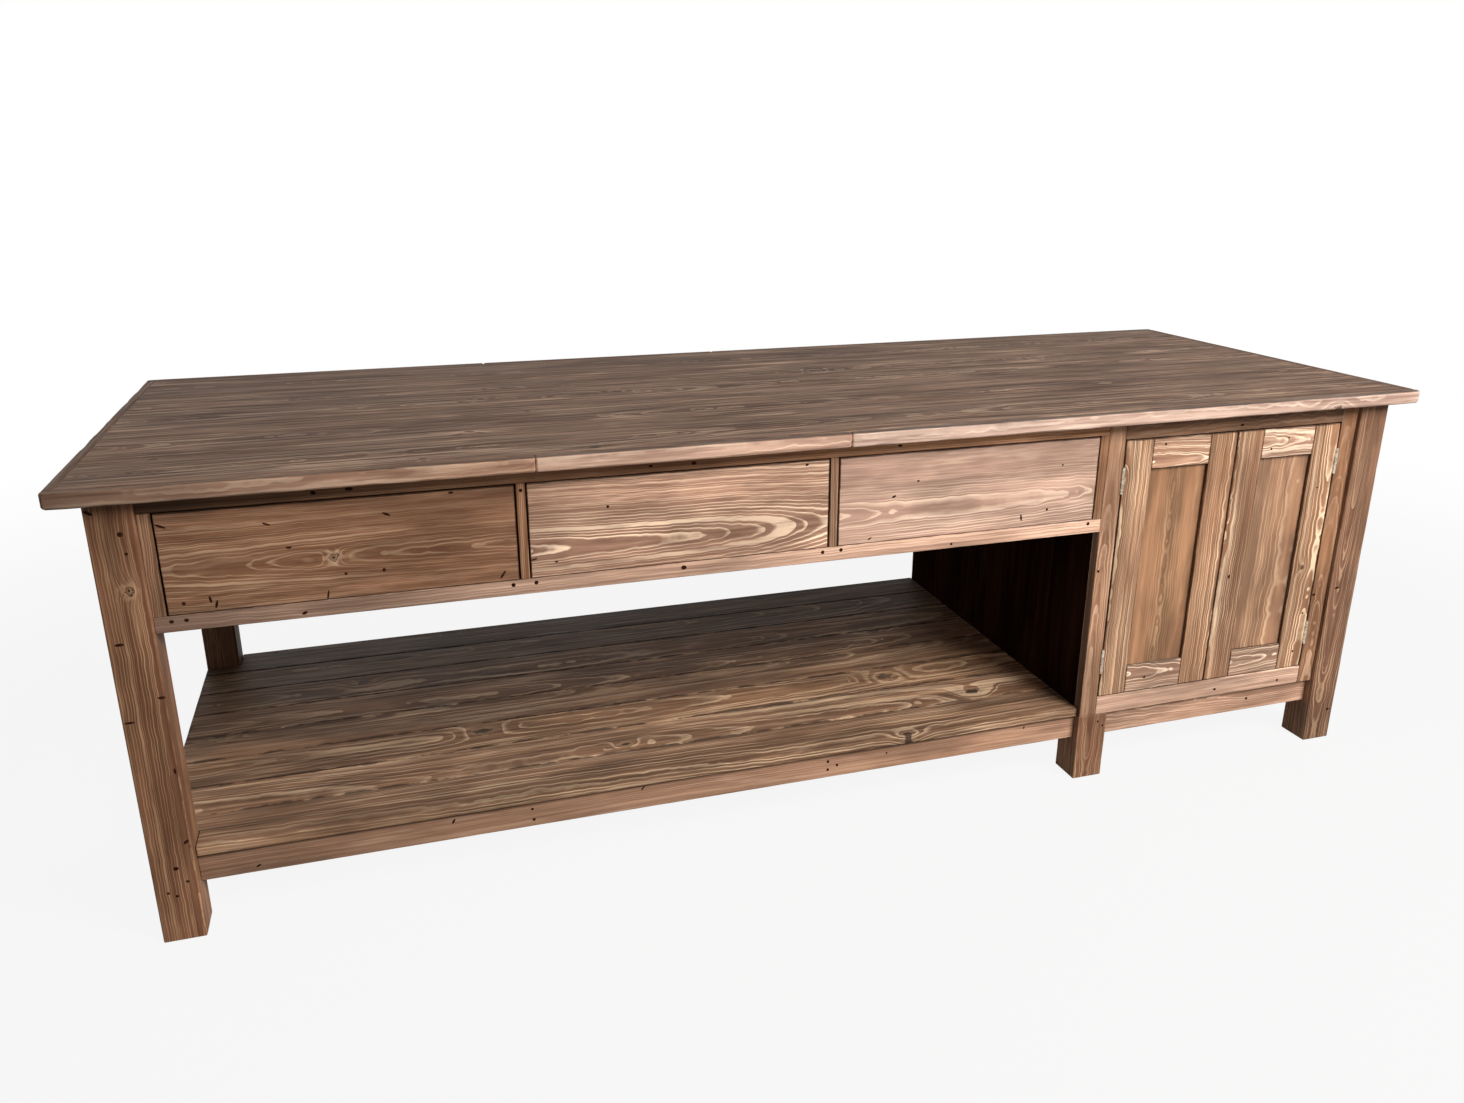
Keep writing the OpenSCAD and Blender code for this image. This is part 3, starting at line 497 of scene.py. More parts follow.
def board(low, high, rng, along=None, edge=0.0012, dent=0.3, cell=0.04, figure=None, tone=(0, 0), drift=0.0,
          knot=None, faces=None):
    low, high = np.array(low, float), np.array(high, float)
    centre, half = (low + high) / 2, (high - low) / 2
    order = np.argsort(half)
    along = int(order[2]) if along is None else along
    thick = int([axis for axis in order if axis != along][0])
    across = 3 - along - thick
    points, quads, held, radius = roundedPoints(half, edge, cell, along)
    out = points - held
    length = np.linalg.norm(out, axis=1, keepdims=True)
    curved = (np.abs(out) > 1e-7).sum(axis=1) > 1
    hollow = np.zeros(len(points))
    for side in (-1, 1):  # dents along both long arrises
        mask = curved & (np.sign(points[:, across]) == side)
        rub = ripple(points[:, along], rng)
        rub += rippleSettings["fineShare"] * ripple(points[:, along] * rippleSettings["fineTimes"], rng)
        hollow[mask] = np.clip(rub[mask] + rippleSettings["lift"], 0, 1) * dent
    points = held + out / length * radius * (1 - hollow)[:, None]
    seed = float(rng.random())
    if figure is None:
        figure = (rng.uniform(-freeFigure["pithAcross"], freeFigure["pithAcross"]) * half[across],
                  rng.uniform(*freeFigure["pithDepth"]),
                  rng.choice([-1, 1]) * rng.uniform(*freeFigure["slope"]))
    pithAcross, pithDepth, slope = figure
    placeAcross, placeDeep, placeAlong = points[:, across], points[:, thick], points[:, along]
    grain = np.column_stack([placeAcross - pithAcross,
                             placeDeep + pithDepth + half[thick] + slope * placeAlong,
                             placeAlong + rng.uniform(0, grainRun)])
    knotAlong, knotAcross, knotRadius = knot or (0, 0, 0)
    ownTone = [value + rng.uniform(-freeFigure["tone"], freeFigure["tone"]) for value in tone]
    tones = np.tile([*ownTone, seed], (len(points), 1))
    tones[:, 0] += drift * placeAlong / half[along]
    face = thick if faces is None else faces
    knotPlaces = [placeAlong - knotAlong, placeAcross - knotAcross, np.full(len(points), knotRadius)]
    return {"points": points + centre, "quads": quads, "smooth": curved[quads].any(axis=1), "attributes": {
        "grainPos": grain, "inBoard": points, "halfSize": np.tile(half, (len(points), 1)),
        "boardTone": tones, "belowFace": half[face] - np.abs(points[:, face]),
        "knotPos": np.column_stack(knotPlaces)}}


def storeAttributes(mesh, values):  # vectors or plain numbers, one to a point
    for label, rows in values.items():
        rows = np.array(rows, np.float32)
        kind, field = ("FLOAT", "value") if rows.ndim == 1 else ("FLOAT_VECTOR", "vector")
        mesh.attributes.new(label, kind, "POINT").data.foreach_set(field, rows.ravel())


def newObject(name, data):
    made = bpy.data.objects.new(name, data)
    bpy.context.scene.collection.objects.link(made)
    return made


def meshFrom(name, boards, material):
    starts = np.cumsum([0] + [len(b["points"]) for b in boards])
    points = np.concatenate([b["points"] for b in boards])
    quads = np.concatenate([b["quads"] + start for b, start in zip(boards, starts)])
    mesh = bpy.data.meshes.new(name)
    mesh.from_pydata(points.tolist(), [], quads.tolist())
    mesh.polygons.foreach_set("use_smooth", np.concatenate([b["smooth"] for b in boards]))
    for label in boards[0]["attributes"]:
        storeAttributes(mesh, {label: np.concatenate([b["attributes"][label] for b in boards])})
    mesh.materials.append(materials[material])
    mesh.update()
    return newObject(name, mesh)


def finishPiece(piece, body, node=None):
    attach(piece, body)
    if node:
        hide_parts(node)
    return piece


def timber(name, node, material, seed, body="root", slot=None, between=None, strakes=1, **look):
    rng = np.random.default_rng(seed)
    listed = {one: look.pop(one + "s") for one in ("figure", "tone", "knot") if one + "s" in look}
    boards = []
    for index, (low, high) in enumerate(solidsOf(node)):
        if between:  # the shoulders of a rail, left and right
            low[0], high[0] = between
        own = {one: many[index % len(many)] for one, many in listed.items()}
        wide = 0 if high[0] - low[0] > high[1] - low[1] else 1
        cuts = np.linspace(low[wide], high[wide], strakes + 1)
        for start, end in zip(cuts[:-1], cuts[1:]):  # a panel is glued up from narrower boards
            if strakes > 1:
                low[wide], high[wide] = start, end
            boards.append(board(low, high, rng, **look, **own))
    return finishPiece(meshFrom(name, boards, material), body, node)


# Carcass boards. A figure is the pith's place across and behind the face, and the slope of the rings;
# a tone is how much lighter and redder; drift makes one end lighter; a knot is along, across and radius
post = {"along": 2, "edge": 0.003}
panel = {"along": 2, "edge": 0.0025, "slot": "side_pine"}
carcass = [
    ("postFrontLeft", "post_front_left", "postPine",
     {**post, "figure": (0.048, 0.026, 0.002), "tone": (0.19, 0.0), "drift": -0.22,
      "knot": (0.275, 0.011, 0.006)}),
    ("postFrontRight", "post_front_right", "postPine",
     {**post, "figure": (-0.012, 0.02, -0.03), "tone": (0.0, 0.0)}),
    # darker tone: painted shade, for a post standing in the shadow under the top and the drawers
    ("postBackLeft", "post_back_left", "postPine", {**post, "tone": (-0.5, 0.0)}),
    ("postBackRight", "post_back_right", "postPine", post),
    ("middleLegs", "middle_legs", "postPine", {**post, "tone": (0.1, 0.0)}),
    # lighter towards the right: painted light from the right and painted shade at the left, under the
    # worktop's lip
    ("drawerTopRail", "drawer_frame_top_rail", "framePine",
     {"figure": (0.06, 0.02, 0.004), "tone": (0.14, 0.0), "drift": 0.85}),
    # lighter tone, rising to the right: partly the rail's own stain, partly painted light from the right
    ("drawerBottomRail", "drawer_frame_bottom_rail", "framePine",
     {"figure": (0.05, 0.02, 0.006), "tone": (0.6, -0.15), "drift": 0.62}),
    ("drawerEndStiles", "drawer_frame_end_stiles", "framePine",
     {"faces": 1, "tones": [(-0.12, 0.0), (0.05, 0.0)]}),
    ("drawerDividers", "drawer_frame_dividers", "framePine",
     {"faces": 1, "tones": [(0.0, 0.0), (0.05, 0.0)]}),
    ("cupboardStiles", "cabinet_frame_stiles", "framePine",
     {"faces": 1, "tones": [(0.15, 0.0), (0.0, 0.0)]}),
    # darker tone: painted shade under the worktop's overhang
    ("cupboardTopRail", "cabinet_frame_top_rail", "framePine", {"tone": (-0.25, 0.0)}),
    # lighter tone: painted light, for a low front that the light reaches fully
    ("cupboardBottomRail", "cabinet_frame_bottom_rail", "framePine",
     {"figure": (0.05, 0.02, 0.01), "tone": (0.9, -0.24)}),
    ("backApron", "back_apron", "framePine", {}),
    ("leftApron", "left_apron", "framePine", {"tone": (-0.08, 0.0)}),
    ("lowRailFront", "low_rail_front", "lowRailShadePine",
     {"figure": (0.09, 0.02, 0.003), "tone": (0.3, -0.1), "drift": 0.35}),
    ("lowRailBack", "low_rail_back", "framePine", {}),
    ("lowRailLeft", "low_rail_left", "framePine", {}),
    # lighter tone: painted light, for a low front that the light reaches fully
    ("plinthRails", "plinth_rails", "framePine", {"tone": (0.65, -0.12)}),
    ("cupboardLeftSide", "cabinet_left_side", "sideStainAndShadePine", {**panel, "strakes": 6}),
    ("cupboardRightSide", "cabinet_right_side", "postPine", {**panel, "strakes": 6, "tone": (0.05, 0.0)}),
    ("cupboardBack", "cabinet_back", "postPine", {**panel, "strakes": 5}),
    ("cupboardFloor", "cabinet_floor", "innerPine", {}),
    ("cupboardShelf", "cabinet_shelf", "innerPine", {}),
    ("shelfBearers", "pot_shelf_bearers", "innerPine", {}),
    ("drawerRunners", "drawer_runners", "innerPine", {}),
    ("drawerGuides", "drawer_guides_and_stops", "innerPine", {}),
    ("drawerKickers", "drawer_kickers", "innerPine", {}),
]
for number, (name, node, material, look) in enumerate(carcass):
    timber(name, node, material, seeds["carcass"] + number, **look)
print("carcass boards made:", len(carcass))

# The fronts' tones rise from left to right: partly the drawers' own stain, partly painted light, lighter
# where the key light falls from the right
drawerLooks = {
    "drawer_left": {"material": "drawerDarkPine", "figure": (-0.02, 0.024, -0.05),
                    "tone": (-0.2, 0.0), "knot": (-0.022, -0.014, 0.006)},
    "drawer_middle": {"material": "drawerPine", "figure": (-0.045, 0.03, 0.06),
                      "tone": (0.38, -0.12), "drift": 0.1},
    "drawer_right": {"material": "drawerPlainPine", "figure": (-0.03, 0.032, 0.045),
                     "tone": (0.54, -0.22)},
}
for number, (drawer, look) in enumerate(drawerLooks.items()):
    timber(drawer + "Front", drawer + "_front", seed=seeds["drawerFront"] + number, body=drawer, along=0,
           edge=0.0015, **look)
    for part in ("sides", "back", "bottom"):
        timber(drawer + part.title(), f"{drawer}_{part}", "innerPine", seeds["drawerBox"] + number,
               body=drawer, edge=0.001)

doorLooks = {
    "left_door": {"stiles": [(-0.035, 0.02, 0.012), (0.045, 0.02, 0.01)],
                  "rails": [(0.01, 0.024, 0.02), (-0.02, 0.02, 0.05)], "panel": (-0.004, 0.014, 0.003)},
    "right_door": {"stiles": [(-0.035, 0.018, 0.01), (0.02, 0.02, -0.012)],
                   "rails": [(0.0, 0.026, 0.04), (0.0, 0.02, 0.06)], "panel": (0.05, 0.06, 0.004)},
}
for number, (door, look) in enumerate(doorLooks.items()):
    timber(door + "Stiles", door + "_stiles", "doorPine", seeds["doorStiles"] + number, body=door, along=2,
           edge=0.0015, figures=look["stiles"], tone=(0.05, 0.0))
    leftStile, rightStile = solidsOf(door + "_stiles")
    timber(door + "Rails", door + "_rails", "doorPine", seeds["doorRails"] + number, body=door, along=0,
           edge=0.0015, between=(leftStile[1][0], rightStile[0][0]), figures=look["rails"],
           tones=[(0.3, -0.17), (0.3, -0.14)])
    timber(door + "Panel", door + "_panel", "panelPine", seeds["doorPanel"] + number, body=door, along=2,
           edge=0.001, figure=look["panel"], tone=(-0.09, 0.0))
print("drawers and doors made")


# Worktop and pot shelf: rows of like planks, with the edge strips and the notched boards made one by one

redShare = 0.6  # how much the planks differ in redness, to their difference in lightness


def storedVector(tree, label):
    node = addNode(tree, "GeometryNodeInputNamedAttribute", data_type="FLOAT_VECTOR")
    return result(feed(node, Name=label))


def layPlanksTree():  # copies one plank side by side and gives each its own figure and tone
    tree, given, out = newGroup("layPlanks", "GeometryNodeTree", {
        "Geometry": ("Geometry",), "Int": ("Count", "Seed"), "Material": ("Material",),
        "Vector": ("Step", "Figure Low", "Figure High"),
        "Float": ("Tone Spread", "Tone Start", "Tone Step")}, {"Geometry": ("Geometry",)})

    def add(kind, **values):
        return addNode(tree, kind, **values)

    def store(geometry, label, value, domain):
        node = add("GeometryNodeStoreNamedAttribute", domain=domain, data_type="FLOAT_VECTOR")
        return result(feed(node, Geometry=geometry, Name=label, Value=value))

    def randomVector(low, high, seed):
        node = add("FunctionNodeRandomValue", data_type="FLOAT_VECTOR")
        return result(feed(node, Min=low, Max=high, Seed=seed))

    line = feed(add("GeometryNodeMeshLine", mode="OFFSET"), Count=given["Count"], Offset=given["Step"])
    rows = feed(add("GeometryNodeInstanceOnPoints"), Points=result(line), Instance=given["Geometry"])
    spread = given["Tone Spread"]
    middle = result(add("GeometryNodeInputIndex")) * given["Tone Step"] + given["Tone Start"]
    tone = randomVector(combine(middle - spread, spread * -redShare, 0.0),
                        combine(middle + spread, spread * redShare, 1.0), given["Seed"] + 1.0)
    shift = randomVector(given["Figure Low"], given["Figure High"], given["Seed"])
    shifted = store(result(rows), "figureShift", shift, "INSTANCE")
    toned = store(shifted, "boardTone", tone, "INSTANCE")
    real = feed(add("GeometryNodeRealizeInstances"), Geometry=toned)
    added = add("ShaderNodeVectorMath", operation="ADD")
    plug(added.inputs[0], storedVector(tree, "grainPos"))
    plug(added.inputs[1], storedVector(tree, "figureShift"))
    placed = store(result(real), "grainPos", result(added), "POINT")
    cleaned = feed(add("GeometryNodeRemoveAttribute"), Geometry=placed, Name="figureShift")
    painted = feed(add("GeometryNodeSetMaterial"), Geometry=result(cleaned), Material=given["Material"])
    feed(out, Geometry=result(painted))
    return tree


def grow(piece, tree, **inputs):  # runs a tree on a piece and keeps the plain mesh
    modifier = piece.modifiers.new(tree.name, "NODES")
    modifier.node_group = tree
    for item in tree.interface.items_tree:
        label = item.name.replace(" ", "_")
        if item.in_out == "INPUT" and label in inputs:
            modifier[item.identifier] = inputs[label]
    graph = bpy.context.evaluated_depsgraph_get()
    shown = piece.evaluated_get(graph)
    mesh = bpy.data.meshes.new_from_object(shown, preserve_all_data_layers=True, depsgraph=graph)
    piece.modifiers.remove(modifier)
    piece.data = mesh
    return piece


layPlanks = layPlanksTree()


def plankRow(name, boxes, settings, material, seed):  # like planks, laid at an even step
    rng = np.random.default_rng(seed)
    first = board(*boxes[0], rng, **settings["board"])
    del first["attributes"]["boardTone"]  # each plank gets its own from the tree
    step = boxes[1][0] - boxes[0][0]
    return grow(meshFrom(name, [first], material), layPlanks, Count=len(boxes), Step=step.tolist(),
                Figure_Low=settings["figureLow"], Figure_High=settings["figureHigh"],
                Tone_Spread=settings["toneSpread"], Tone_Start=settings["toneStart"],
                Tone_Step=settings["toneStep"], Seed=seed, Material=materials[material])


topSettings = {"board": {"edge": 0.0006, "dent": 0.2, "cell": 0.05, "figure": (0.0, 0.0, 0.006)},
               "figureLow": (-0.06, 0.02, 0.0), "figureHigh": (0.06, 0.06, grainRun),
               "toneSpread": 0.05, "toneStart": 0.0, "toneStep": 0.0}
planks = plankRow("worktopPlanks", solidsOf("top_boards"), topSettings, "topPine", seeds["worktopPlanks"])
finishPiece(planks, "root", "top_boards")

# The front strip's three lengths get lighter from left to right: partly their own stain, partly painted
# light from the right
edgeSettings = {"board": {"edge": 0.0045, "dent": 0.35, "cell": 0.03, "figure": (0.01, 0.04, 0.01)},
                "cornerRadius": 0.012, "nearFront": 0.01, "other": ((-0.1, 0.0), 0.0),
                "front": [((-0.12, -0.04), 0.44), ((0.5, -0.1), 0.12), ((0.54, -0.2), 0.12)]}


def easePlanCorner(points, centre, signs):  # turns a square corner, seen from above, into a round one
    offset = (points[:, :2] - centre) * signs
    outside = (offset > 0).all(axis=1)
    longest = offset[outside].max(axis=1)
    length = np.linalg.norm(offset[outside], axis=1)
    points[outside, :2] = centre + offset[outside] * (longest / length)[:, None] * signs


def worktopEdge():  # the long strips reach round the corners, the front one in three lengths
    rng = np.random.default_rng(seeds["worktopEdge"])
    low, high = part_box("top_edge_strips")
    strips = solidsOf("top_edge_strips")
    sizes = [stripHigh - stripLow for stripLow, stripHigh in strips]
    width = next(size[1] for size in sizes if size[0] > size[1])
    front = iter(edgeSettings["front"])
    made = []
    for (stripLow, stripHigh), size in zip(strips, sizes):
        tone, drift = edgeSettings["other"]
        if size[0] > size[1]:
            if stripLow[1] < low.y + edgeSettings["nearFront"]:
                tone, drift = next(front)
            stripLow[0] = low.x if stripLow[0] < low.x + 2 * width else stripLow[0]
            stripHigh[0] = high.x if stripHigh[0] > high.x - 2 * width else stripHigh[0]
        else:
            stripLow[1], stripHigh[1] = low.y + width, high.y - width
        strip = board(stripLow, stripHigh, rng, tone=tone, drift=drift, **edgeSettings["board"])
        for signs in ((-1, -1), (-1, 1), (1, -1), (1, 1)):
            corner = np.array([high.x if signs[0] > 0 else low.x, high.y if signs[1] > 0 else low.y])
            centre = corner - np.array(signs) * edgeSettings["cornerRadius"]
            easePlanCorner(strip["points"], centre, np.array(signs))
        made.append(strip)
    return made


finishPiece(meshFrom("worktopEdge", worktopEdge(), "edgePine"), "root", "top_edge_strips")

# The slats' tones step down from front to back, and the back end board is darkest: painted shade under the
# drawers and the top
shelfSettings = {"board": {"edge": 0.003, "dent": 0.35, "cell": 0.05, "figure": (0.0, 0.0, 0.03)},
                 "figureLow": (-0.04, 0.02, 0.0), "figureHigh": (0.04, 0.05, grainRun),
                 "toneSpread": 0.08, "toneStart": 0.61, "toneStep": -0.195,
                 "endFigure": (-0.06, 0.04, 0.01), "frontTone": 0.3, "backTone": -0.55,
                 "notchGap": 0.001, "bevelFace": 0.004, "flatNormal": 0.999}
shelfBoxes = sorted(solidsOf("pot_shelf_boards"), key=lambda b: b[0][1])
slats = plankRow("potShelfSlats", shelfBoxes[1:-1], shelfSettings, "shelfPine", seeds["shelfSlats"])
finishPiece(slats, "root")


def notchedBoard(low, high, post, rng, tone):  # fits round a corner post
    x0, y0, z0 = low
    x1, y1, z1 = high
    postLow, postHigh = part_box(post)
    gap = shelfSettings["notchGap"]
    px = postHigh.x + gap
    if postLow.y < 0:  # the notch is at the front
        py = postHigh.y + gap
        outline = [(px, y0), (x1, y0), (x1, y1), (x0, y1), (x0, py), (px, py)]
    else:
        py = postLow.y - gap
        outline = [(x0, y0), (x1, y0), (x1, y1), (px, y1), (px, py), (x0, py)]
    work = bmesh.new()
    face = work.faces.new([work.verts.new((x, y, z0)) for x, y in outline])
    face.normal_flip()
    raised = bmesh.ops.extrude_face_region(work, geom=[face])["geom"]
    lifted = [v for v in raised if isinstance(v, bmesh.types.BMVert)]
    bmesh.ops.translate(work, vec=(0, 0, z1 - z0), verts=lifted)
    bmesh.ops.recalc_face_normals(work, faces=work.faces)
    bmesh.ops.bevel(work, geom=list(work.edges), offset=shelfSettings["board"]["edge"], segments=3,
                    profile=0.5, affect="EDGES")
    bmesh.ops.triangulate(work, faces=[f for f in work.faces if len(f.verts) > 4])
    for f in work.faces:
        turned = max(abs(c) for c in f.normal) < shelfSettings["flatNormal"]
        f.smooth = turned and f.calc_area() < shelfSettings["bevelFace"]
    mesh = bpy.data.meshes.new("notched")
    work.to_mesh(mesh)
    work.free()
    points = np.array([v.co for v in mesh.vertices]) - (low + high) / 2
    pithAcross, pithDepth, slope = shelfSettings["endFigure"]
    grain = np.column_stack([points[:, 1] - pithAcross, points[:, 2] + pithDepth + slope * points[:, 0],
                             points[:, 0] + rng.uniform(0, grainRun)])
    count = len(points)
    storeAttributes(mesh, {"grainPos": grain, "inBoard": points, "knotPos": np.zeros((count, 3)),
                           "halfSize": np.tile((high - low) / 2, (count, 1)),
                           "boardTone": np.tile([tone, 0.0, rng.random()], (count, 1))})
    return mesh


def joinMeshes(name, meshes, finishes):
    objects = []
    for mesh, finish in zip(meshes, finishes):
        mesh.materials.append(materials[finish])
        objects.append(newObject(name, mesh))
    with bpy.context.temp_override(active_object=objects[0], selected_editable_objects=objects):
        bpy.ops.object.join()
    objects[0].name = name
    return objects[0]


endRng = np.random.default_rng(seeds["shelfEnds"])
notched = [notchedBoard(*shelfBoxes[0], "post_front_left", endRng, shelfSettings["frontTone"]),
           notchedBoard(*shelfBoxes[-1], "post_back_left", endRng, shelfSettings["backTone"])]
endBoards = joinMeshes("potShelfEndBoards", notched, ("nosingPine", "shelfPine"))
finishPiece(endBoards, "root", "pot_shelf_boards")
print("worktop and pot shelf made")

# Nail holes, dents and screws, each group on a node's front face: x from the left post's face, height above
# the floor, length and width in mm, and the slant in degrees
marks = {
    "drawer_left": ("drawer_left", "drawer_left_front", [
        (111, 816, 17, 4, -25), (278, 804, 13, 3, -22), (478, 804, 14, 4, -25), (593, 834, 8, 4, 0),
        (309, 758, 9, 4, 0), (465, 699, 6, 6, 0), (365, 662, 16, 3, 78), (171, 676, 12, 4, 100),
        (180, 666, 14, 4, 75), (128, 673, 6, 6, 0), (676, 666, 16, 4, 55), (399, 699, 5, 5, 0)]),
    "drawer_middle": ("drawer_middle", "drawer_middle_front", [
        (879, 781, 5, 5, 0), (777, 681, 6, 3, 0), (1281, 831, 7, 4, 20), (735, 690, 12, 3, 10)]),
    "drawer_right": ("drawer_right", "drawer_right_front", [
        (1473, 748, 9, 4, 20), (1526, 777, 5, 4, 0), (1774, 674, 14, 4, 100), (1836, 687, 5, 5, 0),
        (1422, 662, 9, 3, 30), (1865, 784, 4, 4, 0)]),
    "root": ("root", "post_front_left", [
        (9, 852, 14, 5, -30), (51, 811, 8, 8, 0), (55, 776, 5, 5, 0), (19, 613, 13, 5, 0),
        (70, 505, 11, 5, 0), (12, 464, 16, 4, 0), (70, 358, 4, 10, 0), (68, 210, 10, 5, 40),
        (43, 157, 8, 7, 0), (59, 126, 6, 5, 0), (23, 107, 5, 5, 0), (37, 98, 5, 5, 0)]),
    "rootRight": ("root", "post_front_right", [(2660, 414, 12, 5, 5), (2700, 80, 8, 6, 0)]),
    "rootFrame": ("root", "drawer_frame_bottom_rail", [
        (104, 642, 7, 6, 0), (128, 642, 7, 6, 0), (322, 632, 9, 5, 20), (694, 643, 7, 7, 0),
        (737, 643, 7, 7, 0), (1026, 642, 10, 8, 0), (1319, 643, 7, 7, 0), (1359, 644, 7, 7, 0),
        (1611, 631, 5, 5, 0), (1943, 644, 7, 7, 0), (718, 827, 6, 6, 0), (360, 854, 8, 6, 0),
        (420, 856, 12, 6, 0), (1049, 853, 9, 6, 0), (964, 854, 7, 4, 0), (1481, 855, 9, 4, 0),
        (1983, 528, 6, 6, 0), (2318, 840, 8, 5, 0), (2603, 399, 9, 6, 0), (2535, 180, 6, 6, 0),
        (2350, 182, 7, 6, 0), (2027, 145, 5, 5, 0), (2041, 133, 5, 5, 0)]),
    "rootLowRail": ("root", "low_rail_front", [
        (547, 145, 11, 4, 60), (706, 119, 6, 6, 0), (704, 144, 5, 5, 0), (935, 151, 10, 3, 50),
        (179, 117, 9, 4, 30), (1352, 143, 6, 6, 0), (1352, 123, 6, 6, 0), (1374, 131, 6, 6, 0),
        (1493, 141, 4, 4, 0), (1840, 150, 8, 3, 70)]),
    "rootPlinth": ("root", "plinth_rails", [(2463, 134, 7, 6, 0)]),
    "left_door": ("left_door", "left_door_stiles", [(2142, 244, 7, 5, 0), (2121, 811, 5, 5, 0)]),
    "right_door": ("right_door", "right_door_stiles", [
        (2557, 674, 4, 4, 0), (2578, 354, 5, 5, 0), (2343, 475, 5, 9, 0), (2568, 254, 5, 5, 0),
        (2408, 778, 5, 5, 0), (2453, 801, 4, 4, 0)]),
}
markSettings = {"grown": 1.15, "proud": 0.25, "sides": 10, "rings": 6}


def fillMarksTree():  # a low dark lozenge at each point, sized and turned by the point's own values
    tree, given, out = newGroup("fillMarks", "GeometryNodeTree", {
        "Geometry": ("Geometry",), "Int": ("Sides", "Rings"), "Material": ("Material",)
    }, {"Geometry": ("Geometry",)})
    bead = feed(addNode(tree, "GeometryNodeMeshUVSphere"), Segments=given["Sides"], Rings=given["Rings"],
                Radius=0.5)
    spots = feed(addNode(tree, "GeometryNodeInstanceOnPoints"), Points=given["Geometry"],
                 Instance=result(bead, "Mesh"), Scale=storedVector(tree, "markSize"),
                 Rotation=storedVector(tree, "markTurn"))
    real = feed(addNode(tree, "GeometryNodeRealizeInstances"), Geometry=result(spots))
    painted = feed(addNode(tree, "GeometryNodeSetMaterial"), Geometry=result(real),
                   Material=given["Material"])
    feed(out, Geometry=result(painted))
    return tree


fillMarks = fillMarksTree()
for name, (body, node, spots) in marks.items():
    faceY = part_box(node)[0].y
    x, height, length, width, slant = np.array(spots, float).T
    proud = np.full(len(spots), markSettings["proud"] * mm)
    grown = markSettings["grown"] * mm
    none = np.zeros(len(spots))
    mesh = bpy.data.meshes.new("marks_" + name)
    mesh.from_pydata(np.column_stack([leftFace + x * mm, none + faceY, height * mm]).tolist(), [], [])
    mesh.materials.append(materials["darkFilling"])
    storeAttributes(mesh, {"markSize": np.column_stack([length * grown, proud, width * grown]),
                           "markTurn": np.column_stack([none, -np.radians(slant), none])})
    piece = grow(newObject(mesh.name, mesh), fillMarks, Sides=markSettings["sides"],
                 Rings=markSettings["rings"], Material=materials["darkFilling"])
    finishPiece(piece, body)
print("marks made:", sum(len(spots) for _, _, spots in marks.values()))

cadFinishes = {
    "hingeSteel": ["hinge_frame_leaves", "hinge_leaves_left_door", "hinge_leaves_right_door", "hinge_pins",
                   "strike_left_door", "strike_right_door", "shelf_pins"],
    "screwSteel": ["top_screws", "hinge_screws_frame", "hinge_screws_left_door", "hinge_screws_right_door"],
    "catchPlastic": ["catches"],
}
for finish, nodes in cadFinishes.items():
    for node in nodes:
        shown = bpy.data.objects[node]
        shown.data.materials.clear()
        shown.data.materials.append(materials[finish])
print("metal parts finished")

# Floor, light and camera
studio = {"floorSize": 400.0, "floor": (150, 148, 145), "floorWhite": 0.9, "clearFrom": 1.9, "clearTo": 4.5,
          "floorRough": 0.9, "floorSpecular": 0.1, "fill": 0.2}
white = (1, 1, 1, 1)


def whiteToCamera(tree):  # 1 for camera, mirror and glass rays
    rays = results(addNode(tree, "ShaderNodeLightPath"))
    return rays["Is Camera Ray"].larger(rays["Is Glossy Ray"]).larger(rays["Is Transmission Ray"])


def mixShaders(amount, first, second):
    node = addNode(amount.tree, "ShaderNodeMixShader")
    for socket, value in zip(node.inputs, (amount, result(first), result(second))):
        plug(socket, value)
    return result(node)


def whiteWorld():
    world = bpy.data.worlds.new("studioWorld")
    world.use_nodes = True
    tree = world.node_tree
    tree.nodes.clear()
    light, backdrop = [feed(addNode(tree, "ShaderNodeBackground"), Color=white, Strength=strength)
                       for strength in (studio["fill"], 1.0)]
    feed(addNode(tree, "ShaderNodeOutputWorld"), Surface=mixShaders(whiteToCamera(tree), light, backdrop))
    return world


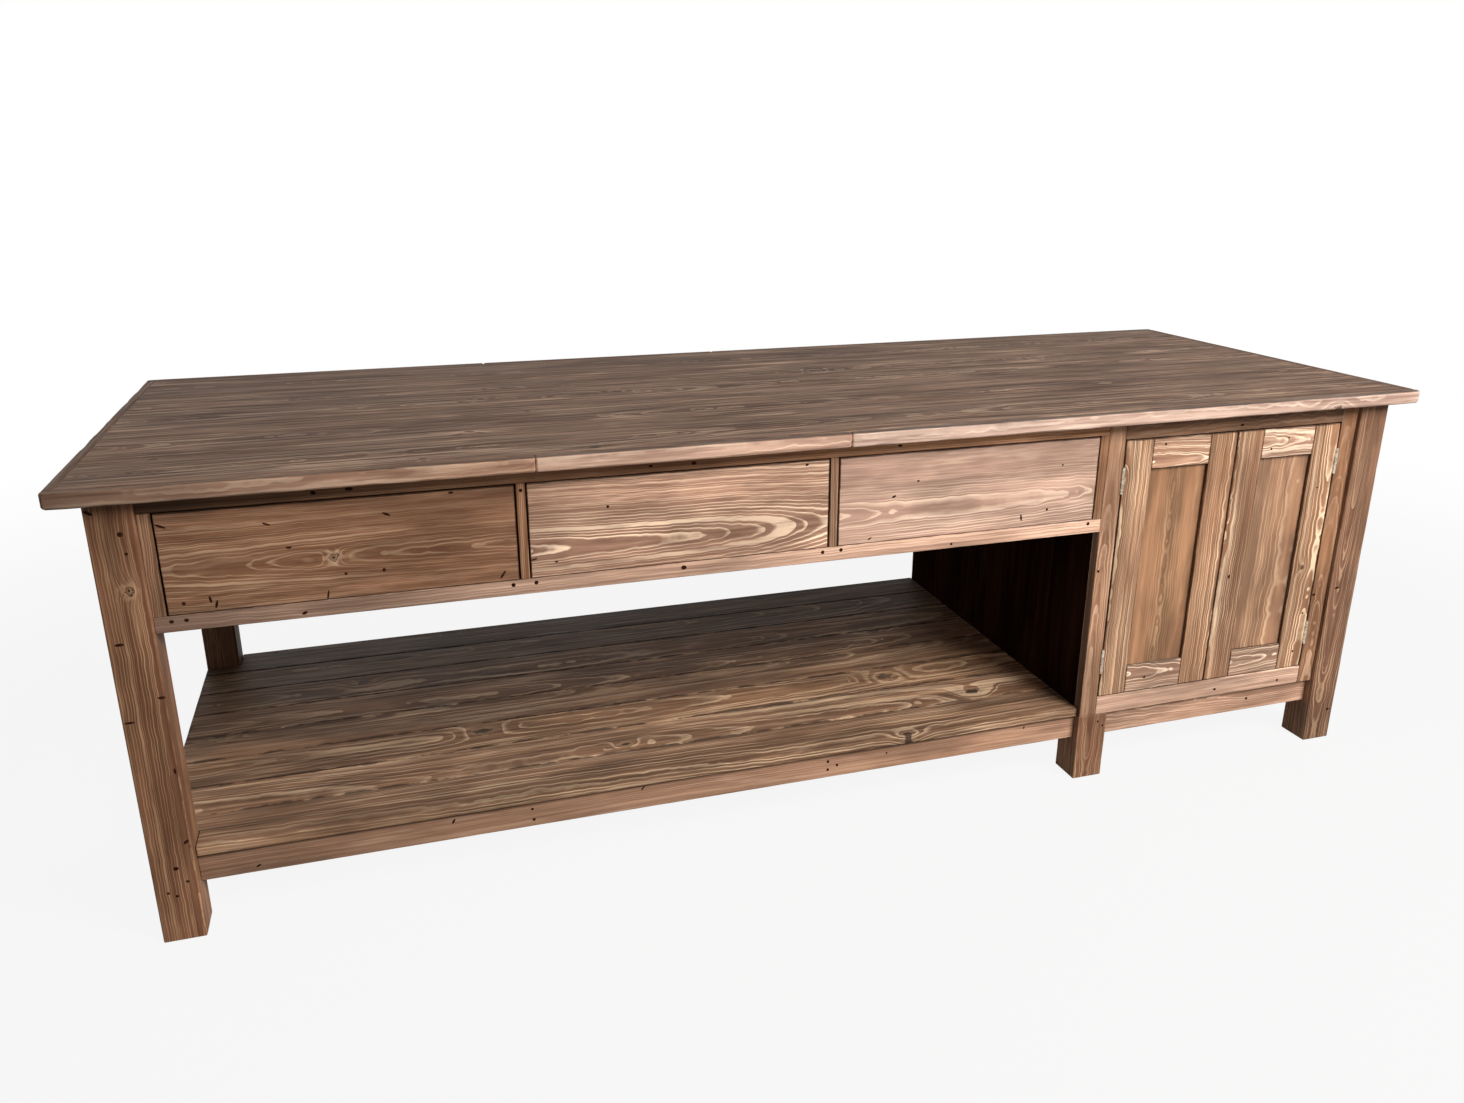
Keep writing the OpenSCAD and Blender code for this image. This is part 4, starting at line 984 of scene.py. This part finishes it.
def floorPiece():  # keeps the shadow, clears to white further off
    material, tree, shader = freshMaterial("studioFloor")
    shader.inputs["Base Color"].default_value = colour(*studio["floor"])
    shader.inputs["Roughness"].default_value = studio["floorRough"]
    shader.inputs["Specular IOR Level"].default_value = studio["floorSpecular"]
    place = result(addNode(tree, "ShaderNodeTexCoord"), "Object")
    away = result(feed(addNode(tree, "ShaderNodeVectorMath", operation="LENGTH"), Vector=place), "Value")
    cleared = away.ramp(studio["clearFrom"], studio["clearTo"], studio["floorWhite"], 1.0)
    glow = feed(addNode(tree, "ShaderNodeEmission"), Color=white, Strength=1.0)
    mixed = mixShaders(whiteToCamera(tree) * cleared, shader, glow)
    plug(tree.nodes["Material Output"].inputs[0], mixed)
    half = studio["floorSize"] / 2
    mesh = bpy.data.meshes.new("floor")
    mesh.from_pydata([(-half, -half, 0), (half, -half, 0), (half, half, 0), (-half, half, 0)], [],
                     [(0, 1, 2, 3)])
    mesh.materials.append(material)
    return newObject("floor", mesh)


bpy.context.scene.world = whiteWorld()
floorPiece()

lamps = {
    "keyLight": {"place": (2.0, -3.3, 3.2), "target": (0.3, 0.0, 0.5), "size": 1.8, "power": 253.0},
    "sideLight": {"place": (-3.4, -2.6, 2.6), "target": (0.0, 0.0, 0.5), "size": 2.5, "power": 2.0},
    "backLight": {"place": (-0.8, 4.4, 0.35), "target": (0.0, 0.0, 0.5), "size": 3.2, "power": 45.0,
                  "height": 0.5},  # low, so that it doesn't reach the top or the shelf
}


def aim(thing, direction):
    thing.rotation_euler = direction.to_track_quat("-Z", "Y").to_euler()


for name, look in lamps.items():
    lamp = bpy.data.lights.new(name, "AREA")
    lamp.size, lamp.energy = look["size"], look["power"]
    if "height" in look:
        lamp.shape, lamp.size_y = "RECTANGLE", look["height"]
    holder = newObject(name, lamp)
    holder.visible_camera = False
    holder.location = look["place"]
    aim(holder, Vector(look["target"]) - Vector(look["place"]))

# The photo's camera: place in mm from the left post's front corner, angles in radians, focal in pixels
camera = {"place": (507.1, -2004.0, 1417.0), "turn": 0.2978, "tip": 0.3224, "focal": 1125.0,
          "imageWidth": 1464, "shiftUp": -0.0157, "sensor": 36.0}
cameraData = bpy.data.cameras.new("photoCamera")
cameraData.sensor_width = camera["sensor"]
cameraData.lens = camera["focal"] / camera["imageWidth"] * camera["sensor"]
cameraData.shift_y = camera["shiftUp"]
photoCamera = newObject("photoCamera", cameraData)
photoCamera.location = Vector(camera["place"]) * mm + Vector((leftFace, postFace, 0.0))
turn, tip = camera["turn"], camera["tip"]
aim(photoCamera, Vector((math.sin(turn) * math.cos(tip), math.cos(turn) * math.cos(tip), -math.sin(tip))))
bpy.context.scene.camera = photoCamera
bpy.context.scene.view_settings.view_transform = "Standard"
print("studio and camera set")
